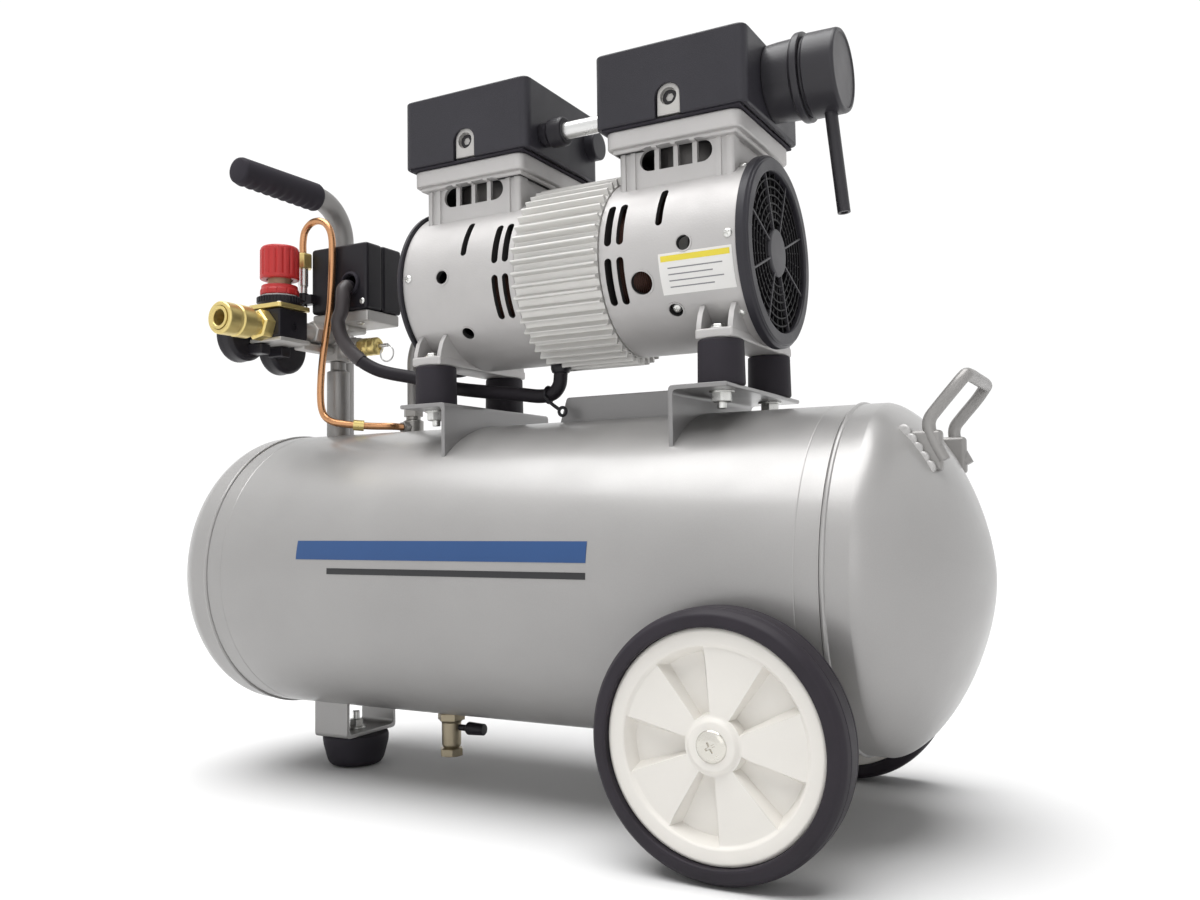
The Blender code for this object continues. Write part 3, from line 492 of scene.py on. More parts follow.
def through(points, count=10):
    """A smooth path through a list of points."""
    spots = [Vector(point) for point in points]
    spots = [2 * spots[0] - spots[1], *spots, 2 * spots[-1] - spots[-2]]
    path = []
    for a, b, c, d in zip(spots, spots[1:], spots[2:], spots[3:]):
        for step in range(count):
            t = step / count
            path.append(0.5 * (2 * b + (c - a) * t + (2 * a - 5 * b + 4 * c - d) * t ** 2
                               + (3 * b - a - 3 * c + d) * t ** 3))
    path.append(spots[-2])
    return path


def tube(points, radius, sides=3, cyclic=False):
    """A bent round bar along a list of points."""
    curve = bpy.data.curves.new("tube", "CURVE")
    curve.dimensions = "3D"
    curve.bevel_depth = radius * MM
    curve.bevel_resolution = sides
    curve.use_fill_caps = not cyclic
    spline = curve.splines.new("POLY")
    spline.points.add(len(points) - 1)
    for spot, point in zip(spline.points, points):
        spot.co = (*[value * MM for value in point], 1.0)
    spline.use_cyclic_u = cyclic
    obj = bpy.data.objects.new("tube", curve)
    bpy.context.scene.collection.objects.link(obj)
    return baked(obj)


def show(obj, name, finish, node=None, body=FRAME, angle=35.0):
    """Finish a piece: name, material, smooth shading, the node it replaces and the body it rides on."""
    settled(obj)
    obj.name = name
    obj.data.materials.clear()
    obj.data.materials.append(MAT[finish])
    obj.data.shade_smooth()
    obj.data.set_sharp_from_angle(angle=math.radians(angle))
    normals = obj.modifiers.new("Normals", "WEIGHTED_NORMAL")
    normals.keep_sharp = True
    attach(obj, body)
    if node:
        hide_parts(node)


def repaint(node, finish):
    """Give a node of the frame, which keeps its own mesh, another finish."""
    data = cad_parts[node].data
    data.materials.clear()
    data.materials.append(MAT[finish])


# ---- fasteners -------------------------------------------------------------------------------
def hex_bolt(at, axis, across=10.0, height=6.0, turn=0.0):
    """Hexagon head on a round washer."""
    head = hexagon(across, 1.2, height, at, axis, turn)
    return merge(head, rod(across * 0.72, 0.0, 1.2, at, axis, 32, 0.3))


def socket_screw(at, axis, radius=5.0, height=5.0):
    """Cylinder head with a hexagon socket."""
    head = rod(radius, 0.0, height, at, axis, 40, 0.6)
    return cut(head, hexagon(radius, height - 3.2, height + 2.0, at, axis, 0.0, 0.1))


def pan_screw(at, axis, radius=3.6, height=2.2, turn=20.0):
    """Domed head with a cross slot."""
    profile = [(0.0, height), (radius * 0.6, height * 0.88), (radius, height * 0.35), (radius, 0.0)]
    head = lathe(profile + [(0.0, 0.0)], 0.8, at, axis, 32)
    long, thin = radius * 0.55, radius * 0.12
    for extra in (0.0, 90.0):
        blade = box((-long, -thin, height - 1.1), (long, thin, height + 1.0))
        cut(head, placed(spun(blade, turn + extra), at, axis))
    return head


# ---- air tank --------------------------------------------------------------------------------
def dome_profile(radius, depth, start, points):
    """Superellipse from the skirt's edge to the tip."""
    profile = []
    for index in range(points + 1):
        angle = math.pi / 2 * index / points
        across = radius * math.cos(angle) ** (2 / DOME_POWER)
        along = start + depth * math.sin(angle) ** (2 / DOME_POWER)
        profile.append((across if index < points else 0.0, along))
    return profile


def curved_sheet(centre_z, radius, ends, angles, thick, across, around):
    """A thin sheet wrapped round a drum along X, angles in degrees up from the front."""
    shape = bmesh.new()
    grid = []
    for row in range(around + 1):
        angle = math.radians(angles[0] + (angles[1] - angles[0]) * row / around)
        line = []
        for column in range(across + 1):
            x = ends[0] + (ends[1] - ends[0]) * column / across
            spot = Vector((x, -radius * math.cos(angle), centre_z + radius * math.sin(angle)))
            line.append(shape.verts.new(spot * MM))
        grid.append(line)
    for lower, upper in zip(grid, grid[1:]):
        for column in range(across):
            shape.faces.new((lower[column], lower[column + 1], upper[column + 1], upper[column]))
    sheet = from_bmesh(shape, "sheet")
    solid = sheet.modifiers.new("Thickness", "SOLIDIFY")
    solid.thickness = thick * MM
    solid.offset = -1.0
    return baked(sheet)


def tank_height(y):
    """Height of the barrel's upper surface at y."""
    return TANK_Z + math.sqrt(TANK_R ** 2 - y ** 2)


def on_tank(shape):
    """Trim a shape to the curve of the barrel that it stands on."""
    return cut(shape, rod(TANK_R - 0.2, -250.0, 250.0, (0.0, 0.0, TANK_Z), "X", 160))


def build_tank():
    half = TANK_SEAM_X - 0.3
    centre = (0.0, 0.0, TANK_Z)
    wall = 2.5
    swage = half - 15.0
    barrel = [(TANK_R - wall, half), (TANK_R, half), (TANK_R, swage + 1.4), (TANK_R - 0.35, swage + 0.7)]
    barrel += [(TANK_R, swage), (TANK_R, -swage), (TANK_R - 0.35, -swage - 0.7), (TANK_R, -swage - 1.4)]
    barrel += [(TANK_R, -half), (TANK_R - wall, -half)]
    show(turned(barrel, centre, "X", 192, ring=True), "tank_shell", "tank_paint", "tank_barrel")
    start = TANK_SEAM_X + SKIRT
    for side, name in (("X", "right"), ("-X", "left")):
        outer = dome_profile(TANK_R, DOME_DEPTH, start, 40)[::-1]
        outer += [(TANK_R, start - 4.0), (TANK_R, TANK_SEAM_X + 3.2)]
        outer += [(TANK_R + 0.9, TANK_SEAM_X + 2.6), (TANK_R + 1.3, TANK_SEAM_X + 1.5)]
        outer += [(TANK_R + 0.8, TANK_SEAM_X + 0.5), (TANK_R, TANK_SEAM_X)]
        inner = dome_profile(TANK_R - wall, DOME_DEPTH - wall, start, 12)
        inner.insert(0, (TANK_R - wall, TANK_SEAM_X))
        show(turned(outer + inner, centre, side, 192), "tank_dome_" + name, "tank_paint",
             "tank_end_" + name)


def build_tank_marks():
    """Two plain stripes where the maker's lettering would be."""
    for name, finish, start, angles in (("wide", "decal_blue", -148.0, (6.5, 13.5)),
                                        ("narrow", "decal_black", -118.0, (1.2, 3.4))):
        stripe = curved_sheet(TANK_Z, TANK_R + 0.25, (start, 92.0), angles, 0.15, 48, 12)
        show(stripe, "stripe_" + name, finish)


def on_dome(shape):
    """Trim a shape that stands on the right dome or on the barrel."""
    start = TANK_SEAM_X + SKIRT
    dome = dome_profile(TANK_R - 0.4, DOME_DEPTH - 0.4, start, 40)[::-1]
    dome += [(TANK_R - 0.4, 0.0), (0.0, 0.0)]
    return cut(shape, turned(dome, (0.0, 0.0, TANK_Z), "X", 128))


def build_carry_handle():
    reach = 40.0
    side = [(294.0, 230.0), (289.0, 240.0), (286.2, 248.0), (286.6, 254.5), (291.0, 260.5), (300.5, 271.5)]
    left = [(x, -reach, z) for x, z in side]
    corner = [(306.0, -reach + 2.5, 278.4), (307.6, -reach + 8.0, 280.2)]
    bar = left + corner + [(307.8, 0.0, 280.4)] + [(x, -y, z) for x, y, z in reversed(left + corner)]
    handle = tube(through(bar, 6), 3.9, 5)
    tabs = []
    for sign in (-1, 1):
        y = sign * (reach - 1.0)
        tabs.append(box((270.0, y - 4.2, 224.0), (293.5, y + 4.2, 248.0), 2.4, 3))
    join(handle, *tabs)
    show(on_dome(handle), "carry_bar", "grey_steel", "carry_handle")
    bead = [(0.0, 4.0), (4.0, 4.0), (4.4, -4.0), (0.0, -4.0)]
    for name, y, beside in (("front", 1.0 - reach, -4.5), ("back", reach - 1.0, 4.5)):
        beads = []
        for index in range(5):
            z = 226.0 + 5.4 * index
            x = 293.0 - 0.62 * (z - 226.0)
            beads.append(lathe(bead, 3.4, (x - 7.0, y + beside, z), "Y", 20, 5))
        show(on_dome(join(*beads)), "carry_weld_" + name, "weld")


def build_drain():
    bottom = TANK_Z - TANK_R
    at = (DRAIN_X, 0.0, 0.0)
    profile = [(0.0, bottom + 0.2), (9.3, bottom), (9.3, 42.0), (7.6, 41.0), (7.4, 23.0)]
    profile += [(5.8, 21.0), (5.8, 16.8), (8.2, 15.6), (8.2, 15.0), (0.0, 15.0)]
    show(lathe(profile, 1.0, at, "Z", 48), "drain_cock", "dull_brass", "drain_valve_body")
    show(hexagon(16.5, 15.2, 21.0, at, "Z", 10.0), "drain_nut", "dull_brass")
    show(hexagon(19.0, 42.5, bottom - 0.6, at, "Z", 20.0), "drain_socket", "dull_brass")
    at = (DRAIN_X, 0.0, DRAIN_KNOB_Z)
    knob = [(0.0, 31.0), (4.4, 31.0), (5.0, 16.5), (2.4, 14.5), (2.4, 7.6), (0.0, 7.6)]
    grip = lathe(knob, 0.7, at, "X", 48)
    flutes = []
    for y, z in circle(5.15, 10, (0.0, DRAIN_KNOB_Z)):
        flutes.append(tube([(DRAIN_X + 17.5, y, z), (DRAIN_X + 29.5, y, z)], 0.55, 2))
    cut(grip, *flutes)
    show(grip, "drain_knob", "black_plastic", "drain_valve_knob", "drain_valve_knob")


# ---- wheels and foot -------------------------------------------------------------------------
def build_wheel(name, sign):
    axis = toward("Y", sign)
    body = "wheel_" + name
    at = (WHEEL_X, 0.0, WHEEL_R)
    face, back = WHEEL_FACE_Y, WHEEL_IN_Y + 2.0
    bore = AXLE_R + 0.3
    profile = [(bore, face), (13.4, face), (15.4, face - 2.2), (16.6, face - 2.6), (53.2, face - 3.4)]
    profile += [(54.2, face - 2.2), (55.2, face - 1.5), (62.4, face - 0.9), (DISC_R, face - 2.2)]
    profile += [(DISC_R, back), (DISC_R - 6.0, back), (DISC_R - 9.0, back + 7.0), (20.0, back + 7.0)]
    profile += [(18.0, back), (bore, back)]
    disc = lathe(profile, 0.8, at, axis, 160, 2, ring=True)
    pockets = []
    for index in range(5):
        middle = 40.0 + 72.0 * index
        floor = sector(17.6, 50.5, middle - 12.5, middle + 12.5, 10)
        mouth = sector(16.6, 54.4, middle - 17.5, middle + 17.5, 10)
        pockets.append(tapered_cutter(floor, mouth, face - 10.5, face - 1.6, sign))
    cut(disc, *pockets)
    soften(disc, 0.7, 2, 28.0)
    show(disc, "rim_" + name, "white_plastic", "wheel_" + name, body)
    build_tyre(name, at, axis)
    show(wheel_cap(at, axis, face), "wheel_cap_" + name, "cap_steel")


def build_tyre(name, at, axis):
    """A tyre with square shoulders and a groove near each edge, the same on both sides."""
    middle = (WHEEL_OUT_Y + WHEEL_IN_Y) / 2
    half = (WHEEL_OUT_Y - WHEEL_IN_Y) / 2
    side = [(DISC_R + 0.1, half - 0.6), (DISC_R + 1.6, half - 0.1), (WHEEL_R - 3.6, half - 0.9)]
    side += [(WHEEL_R - 0.9, half - 4.4), (WHEEL_R - 0.1, half - 8.4), (WHEEL_R - 1.0, half - 9.0)]
    side += [(WHEEL_R - 0.1, half - 9.6), (WHEEL_R, 3.0)]
    profile = [(radius, middle + along) for radius, along in side]
    profile += [(radius, middle - along) for radius, along in reversed(side)]
    tyre = lathe(profile, 1.2, at, axis, 192, ring=True)
    show(tyre, "tread_" + name, "tyre_rubber", "tyre_" + name, "wheel_" + name, angle=50.0)


def tapered_cutter(floor, mouth, low, high, sign):
    """A pocket whose walls slope from a small floor to a wide mouth, on the side of sign."""
    shape = bmesh.new()
    rings = []
    over = 4.0
    top = scaled(floor, mouth, 1.0 + over / (high - low))
    for loop, depth in ((floor, low), (mouth, high), (top, high + over)):
        spots = [Vector((WHEEL_X + x, sign * depth, WHEEL_R + z)) * MM for x, z in loop]
        rings.append([shape.verts.new(spot) for spot in spots])
    for lower, upper in zip(rings, rings[1:]):
        for index in range(len(lower)):
            after = (index + 1) % len(lower)
            shape.faces.new((lower[index], lower[after], upper[after], upper[index]))
    shape.faces.new(rings[0])
    shape.faces.new(rings[-1])
    bmesh.ops.recalc_face_normals(shape, faces=shape.faces)
    return from_bmesh(shape, "pocket")


def scaled(first, second, amount):
    """The outline reached by going on from first through second."""
    return [(a + (c - a) * amount, b + (d - b) * amount) for (a, b), (c, d) in zip(first, second)]


def wheel_cap(at, axis, face):
    """Pressed retaining cap, domed, with a dented cross in its middle."""
    profile = [(0.0, face + 2.2), (4.0, face + 2.1), (7.0, face + 1.5), (8.6, face + 0.7)]
    profile += [(9.2, face - 0.1), (0.0, face - 0.1)]
    cap = lathe(profile, 0.7, at, axis, 64)
    dents = []
    for turn in (30.0, 120.0):
        dent = box((-3.2, -0.7, face + 1.0), (3.2, 0.7, face + 4.0), 0.2, 1)
        dents.append(placed(spun(dent, turn), at, axis))
    return cut(cap, *dents)


def build_wheel_bracket(name, sign):
    axis = toward("Y", sign)
    low, high = sorted((sign * 84.0, sign * 88.0))
    plate = box((WHEEL_X - 24.0, low, WHEEL_R - 13.0), (WHEEL_X + 24.0, high, 112.0), 1.2, 2)
    end = WHEEL_FACE_Y - 0.2
    axle = [(0.0, end), (AXLE_R, end), (AXLE_R, WHEEL_IN_Y + 1.0), (11.0, WHEEL_IN_Y + 0.6)]
    axle += [(11.0, 85.0), (0.0, 85.0)]
    join(plate, turned(axle, (WHEEL_X, 0.0, WHEEL_R), axis, 48))
    show(on_tank(plate), "axle_bracket_" + name, "zinc", "wheel_bracket_" + name)


def build_foot():
    half_x, half_y, bend = 17.0, 29.5, 4.0
    top = FOOT_TOP + 3.3
    low_z = FOOT_TOP + 0.3
    wall = 3.0
    outside = [(-half_y, 62.0), (-half_y, low_z), (half_y, low_z), (half_y, 62.0)]
    inside = [(half_y - wall, 62.0), (half_y - wall, top), (wall - half_y, top), (wall - half_y, 62.0)]
    loop = rounded(outside + inside, bend, 4, closed=True)
    bracket = soften(on_tank(upright_plate(loop, 2 * half_x, FOOT_X)), 0.5, 2)
    show(bracket, "foot_channel", "tank_paint", "foot_bracket")
    foot = [(0.0, FOOT_TOP + 0.2), (25.8, FOOT_TOP + 0.2), (26.6, FOOT_TOP - 2.4), (26.2, FOOT_TOP - 7.0)]
    foot += [(22.6, 4.0), (20.0, 0.4), (10.0, 0.0), (0.0, 0.0)]
    show(lathe(foot, 2.0, (FOOT_X, 0.0, 0.0), "Z", 96, 4), "foot_pad", "black_rubber", "rubber_foot")
    at = (FOOT_X, 0.0, top)
    bolt = merge(hexagon(10.0, 1.5, 7.5, at, "Z", 12.0), rod(8.0, 0.0, 1.5, at, "Z", 40, 0.4),
                 rod(2.9, 7.0, 14.0, at, "Z", 32, 0.8))
    show(bolt, "foot_bolt", "zinc")


# ---- pump ------------------------------------------------------------------------------------
def on_bell(shape, x, angle, radius=BELL_R):
    """Stand a flat shape on the crankcase, angle degrees up from the front."""
    lean = math.radians(angle)
    out = Vector((0.0, -math.cos(lean), math.sin(lean)))
    up = Vector((0.0, math.sin(lean), math.cos(lean)))
    place = Vector((x, 0.0, SHAFT_Z)) + out * radius
    turn = Matrix((Vector((1.0, 0.0, 0.0)), up, out)).transposed().to_4x4()
    shape.matrix_world = Matrix.Translation(place * MM) @ turn
    return settled(shape)


def upright_slot(length, width):
    return [(up, across) for across, up in stadium(length, width)]


def bell_holes(sign):
    """(radius, steps, x, angle) of every round hole in one bell."""
    holes = []
    for face, flip in ((0.0, 1.0), (180.0, -1.0)):
        holes.append((4.8, 32, PUMP_X + sign * 96.0, face - flip * 0.4))
        holes.append((4.8, 32, PUMP_X + sign * 83.5, face - flip * 41.0))
    if sign > 0:
        holes.append((7.6, 40, PUMP_X + 64.0, -21.2))
    return holes


def bell_openings(sign):
    """(loop, x, angle) of every slot and hole in one bell."""
    found = []
    for face, flip in ((0.0, 1.0), (180.0, -1.0)):
        for away in (41.0, 50.0):
            found.append((upright_slot(31.0, 5.4), PUMP_X + sign * away, face + flip * 18.4))
            found.append((upright_slot(32.0, 5.4), PUMP_X + sign * away, face - flip * 18.6))
        found.append((upright_slot(30.0, 5.0), PUMP_X + sign * 78.0, face + flip * 26.5))
    return found + [(circle(radius, steps), x, angle) for radius, steps, x, angle in bell_holes(sign)]


def window_loops():
    """Four cooling windows that share one outline with round ends."""
    low, high, half = -7.5, 7.5, 26.5
    centre = half - 7.5
    left = arc(7.5, 90.0, 270.0, 12, (-centre, 0.0)) + [(-15.6, low), (-15.6, high)]
    loops = [left, [(-12.2, low), (-1.6, low), (-1.6, high), (-12.2, high)]]
    loops.append([(1.6, low), (12.2, low), (12.2, high), (1.6, high)])
    loops.append([(-x, z) for x, z in reversed(left)])
    return loops


def case_neck(head_x):
    """The square neck under a head, with a sunk panel or two on each side, and its skirt."""
    neck = box((head_x - 42.0, -42.0, 405.0), (head_x + 42.0, 42.0, FLANGE_BOTTOM + 1.0), 3.0, 4)
    panels = []
    top, sunk = FLANGE_BOTTOM - 1.2, 1.3
    for y in (-42.0, 42.0):
        for x, width in ((head_x - 29.5, 59.0), (head_x - 37.0, 4.0), (head_x + 33.0, 4.0)):
            panels.append(box((x, y - sunk, 400.0), (x + width, y + sunk, top), 0.6, 2))
    for x in (head_x - 42.0, head_x + 42.0):
        panels.append(box((x - sunk, -31.5, 400.0), (x + sunk, 31.5, top), 0.6, 2))
    low, high = FLANGE_BOTTOM - 2.6, FLANGE_BOTTOM + 1.5
    skirt = box((head_x - 45.5, -46.0, low), (head_x + 45.5, 46.0, high), 1.8, 3)
    return cut(neck, *panels), skirt


def case_ribs(foot_x):
    """Two ribs from the bell down to each end of the mounting pad."""
    ribs = []
    outer = [(57.0, 314.0), (55.6, 322.0), (53.0, 329.0), (48.6, 335.0)]
    for side in (-1, 1):
        for rib in (-10.8, 10.8):
            loop = [(side * y, z) for y, z in outer + [(36.0, 335.0), (20.0, 314.0)]]
            ribs.append(upright_plate(loop, 3.4, foot_x + rib))
    return ribs


def build_crankcase(name, sign):
    """Bell, neck, head flange and feet, with slots, windows and cast edges."""
    axis = toward("X", sign)
    centre = (PUMP_X, 0.0, SHAFT_Z)
    head_x = PUMP_X + sign * HEAD_OUT
    foot_x = PUMP_X + sign * MOUNT_OUT
    bell = [(0.0, BELL_OUT), (BELL_R - 0.4, BELL_OUT), (BELL_R, BELL_OUT - 1.0), (BELL_R, BELL_IN + 0.8)]
    bell += [(BELL_R - 0.8, BELL_IN), (0.0, BELL_IN)]
    case = lathe(bell, 0.8, centre, axis, 160, 4)
    corners = [(-49.0, -50.0), (49.0, -50.0), (49.0, 50.0), (-49.0, 50.0)]
    flange = outline([rounded(corners, 8.0, 6, closed=True)], FLANGE_TOP - FLANGE_BOTTOM,
                     (head_x, 0.0, (FLANGE_TOP + FLANGE_BOTTOM) / 2), "Z", 1.4)
    pad = box((foot_x - 13.0, -58.0, PAD_BOTTOM), (foot_x + 13.0, 58.0, 318.5), 1.6, 3)
    join(case, *case_neck(head_x), flange, pad)
    join(case, *case_ribs(foot_x))
    hollow = rod(BELL_R - 4.0, BELL_IN + 5.0, BELL_OUT + 20.0, centre, axis, 96)
    inside = box((head_x - 38.0, -38.0, 400.0), (head_x + 38.0, 38.0, FLANGE_BOTTOM))
    bore = rod(33.0, 440.0, FLANGE_TOP + 5.0, (head_x, 0.0, 0.0), "Z", 64)
    cut(case, hollow, inside, bore, rod(6.4, 0.0, BELL_IN + 10.0, centre, axis, 24))
    cut(case, *[outline([loop], 130.0, (head_x, 0.0, 440.0), "-Y") for loop in window_loops()])
    cut(case, *[on_bell(outline([loop], 20.0), x, angle) for loop, x, angle in bell_openings(sign)])
    soften(case, 0.35, 1, 40.0)
    show(case, "bell_" + name, "pump_silver", "crankcase_" + name)
    darken_inside(case, head_x)
    rims = []
    for radius, _, x, angle in bell_holes(sign):
        ring = [(radius + 0.05, -1.0), (radius + 0.3, 0.35), (radius + 1.3, 0.35), (radius + 1.5, -1.0)]
        rims.append(on_bell(turned(ring, ORIGIN, "Z", 40, ring=True), x, angle))
    show(merge(*rims), "hole_rims_" + name, "pump_silver")


def darken_inside(case, head_x):
    """Faces inside the bell and neck get a dark finish: painted shade for the enclosed, unlit inside of the
    casting.
    """
    case.data.materials.append(MAT["painted_shade_cavity"])
    for face in case.data.polygons:
        x, y, z = (value / MM for value in face.center)
        in_bell = math.hypot(y, z - SHAFT_Z) < BELL_R - 0.6 and z < SHAFT_Z + BELL_R - 4.0
        in_neck = z > SHAFT_Z + 36.0 and z < FLANGE_TOP - 0.5 and abs(x - head_x) < 38.2 and abs(y) < 38.2
        at_end = min(abs(abs(x - PUMP_X) - edge) for edge in (BELL_IN, BELL_OUT)) < 0.6
        if (in_bell or in_neck) and z > PAD_BOTTOM + 7.0 and not at_end:
            face.material_index = 1


def upright_plate(loop, thickness, x):
    """A plate whose outline lies in the Y and Z directions, centred on x."""
    plate = outline([counterclockwise(loop)], thickness)
    turn = Matrix(((0.0, 0.0, 1.0), (1.0, 0.0, 0.0), (0.0, 1.0, 0.0))).to_4x4()
    plate.data.transform(Matrix.Translation((x * MM, 0.0, 0.0)) @ turn)
    return plate


def build_bell_details(name, sign):
    """Screws on the bell and the pad bolts."""
    screws = []
    for angle in (1.5, 178.5, 60.0, -48.0):
        screw = pan_screw(ORIGIN, "Z", 3.1, 2.0)
        screws.append(on_bell(screw, PUMP_X + sign * 126.6, angle, BELL_R - 0.3))
    show(merge(*screws), "bell_screws_" + name, "zinc")
    foot_x = PUMP_X + sign * MOUNT_OUT
    bolts = [hex_bolt((foot_x, y, 318.4), "Z", 8.5, 3.4, 15.0) for y in (-MOUNT_Y - 4.0, MOUNT_Y + 4.0)]
    show(merge(*bolts), "pad_bolts_" + name, "zinc")
    if sign > 0:
        screw = on_bell(pan_screw(ORIGIN, "Z", 3.4, 2.0, 60.0), PUMP_X + 83.5, -41.0, BELL_R - 2.8)
        show(screw, "sunk_screw", "zinc")


def build_end_windings(name, sign):
    """The motor's end windings, a ring of wire rows inside the bell, seen through its slots."""
    inner, outer, start, rows, wire = 42.0, 54.6, BELL_IN + 5.4, 21, 1.5
    profile = [(inner, start)]
    for row in range(rows):
        along = start + wire * row
        profile += [(outer - 0.7, along + 0.1), (outer, along + wire / 2)]
    profile += [(outer - 3.0, start + wire * rows + 1.5), (inner, start + wire * rows + 1.5)]
    ring = turned(profile[::-1], (PUMP_X, 0.0, SHAFT_Z), toward("X", sign), 96, ring=True)
    show(ring, "end_windings_" + name, "winding")


def show_label(name, finish, lift, ends, angles):
    """One layer of the label on the right bell, ends counted from the pump's middle."""
    ends = [PUMP_X + end for end in ends]
    sheet = curved_sheet(SHAFT_Z, BELL_R + lift, ends, angles, 0.12, 24, 10)
    show(sheet, name, finish)


def build_plain_label():
    """A plain rating label with a colour band and blank rules, no words or signs."""
    show_label("label_sheet", "label_white", 0.16, (78.0, 129.0), (-30.5, -5.5))
    show_label("label_band", "label_yellow", 0.28, (79.5, 127.5), (-10.5, -7.0))
    for index in range(4):
        end = 122.0 - 7.0 * (index % 2)
        angle = -14.5 - 3.8 * index
        show_label(f"label_rule_{index}", "label_grey", 0.28, (84.0, end), (angle - 0.35, angle + 0.35))


def build_motor_housing():
    """Extruded aluminium body with rounded cooling fins all round."""
    fins = 48
    root, tip = 62.4, 67.5
    pitch = 2 * math.pi / fins
    loop = []
    for index in range(fins):
        start = index * pitch
        shape = [(root + 0.5, -0.02), (root, 0.10), (root, 0.42), (root + 0.5, 0.54), (tip - 1.0, 0.62)]
        shape += [(tip - 0.2, 0.66), (tip, 0.74), (tip - 0.2, 0.82), (tip - 1.0, 0.86)]
        for radius, part in shape:
            angle = start + part * pitch
            loop.append((radius * math.cos(angle), radius * math.sin(angle)))
    length = 2 * (BELL_IN - 0.3)
    centre = (PUMP_X, 0.0, SHAFT_Z)
    housing = outline([loop, circle(55.0, 96)], length, centre, "X", 0.25)
    show(housing, "finned_housing", "fin_aluminium", "motor_housing", angle=28.0)


def build_fan(name, sign):
    """Seven slanted blades on a hub with a back disc."""
    axis = toward("X", sign)
    centre = (PUMP_X, 0.0, SHAFT_Z)
    middle = 119.0
    hub = [(15.0, middle + 6.0), (15.0, middle - 6.0), (6.3, middle - 6.0), (6.3, middle + 6.0)]
    fan = lathe(hub, 1.0, centre, axis, 64, 2, ring=True)
    shift = Matrix.Translation(Vector((PUMP_X + sign * middle, 0.0, SHAFT_Z)) * MM)
    lean = Matrix.Rotation(math.radians(-90.0), 4, "Y") @ Matrix.Rotation(math.radians(-55.0), 4, "X")
    blades = []
    count = 7
    for index in range(count):
        blade = box((13.0, -7.5, -0.9), (46.0, 7.5, 0.9), 0.6, 2)
        blade.matrix_world = shift @ Matrix.Rotation(2 * math.pi * index / count, 4, "X") @ lean
        blades.append(settled(blade))
    disc = rod(44.0, middle - 6.9, middle - 5.9, centre, axis, 96)
    cut(disc, rod(6.3, middle - 20.0, middle + 20.0, centre, axis, 48))
    join(fan, disc, *blades)
    show(fan, "blades_" + name, "black_plastic", "fan_" + name, "rotor")


def build_guard(name, sign):
    """Round fan grille: eight spokes over a net of rings and bars, and a blank hub disc."""
    axis = toward("X", sign)
    centre = (PUMP_X, 0.0, SHAFT_Z)
    back, front = BELL_OUT + 0.3, BELL_OUT + (8.1 if sign > 0 else 5.1)
    rim = [(64.6, front - 2.6), (64.6, back), (61.0, back), (54.0, back + 1.0), (54.0, front - 1.2)]
    rim += [(54.8, front), (61.6, front), (62.2, front - 0.7), (62.8, front - 0.7), (63.2, front - 1.6)]
    frame_ring = lathe(rim, 0.5, centre, axis, 160, 2, ring=True)
    mesh = []
    for radius in (22.4, 27.8, 33.2, 38.6, 44.0, 49.4):
        wire = [(radius + 0.6, front - 2.6), (radius + 0.6, front - 4.8)]
        wire += [(radius - 0.6, front - 4.8), (radius - 0.6, front - 2.6)]
        mesh.append(lathe(wire, 0.3, centre, axis, 128, 2, ring=True))
    back = front - 4.8
    hub = [(0.0, front - 1.6), (15.0, front - 1.6), (16.4, front - 2.6), (16.4, back), (0.0, back)]
    spokes = [lathe(hub, 0.7, centre, axis, 64, 2)]
    count = 8
    shift = Matrix.Translation(Vector((PUMP_X + sign * (front - 3.4) - 1.3, 0.0, SHAFT_Z)) * MM)
    for index in range(4 * count):
        if index % 4 == 2:
            bar = box((0.0, 15.5, -0.75), (2.6, 54.6, 0.75), 0.4, 2)
            spokes.append(bar)
        else:
            bar = box((0.0, 22.0, -0.55), (1.4, 54.6, 0.55))
            mesh.append(bar)
        bar.matrix_world = shift @ Matrix.Rotation(math.pi * index / (2 * count), 4, "X")
        settled(bar)
    show(frame_ring, "grille_rim_" + name, "charcoal", "fan_guard_" + name)
    show(merge(*mesh), "grille_mesh_" + name, "grille_black")
    show(merge(*spokes), "grille_spokes_" + name, "spoke_grey")


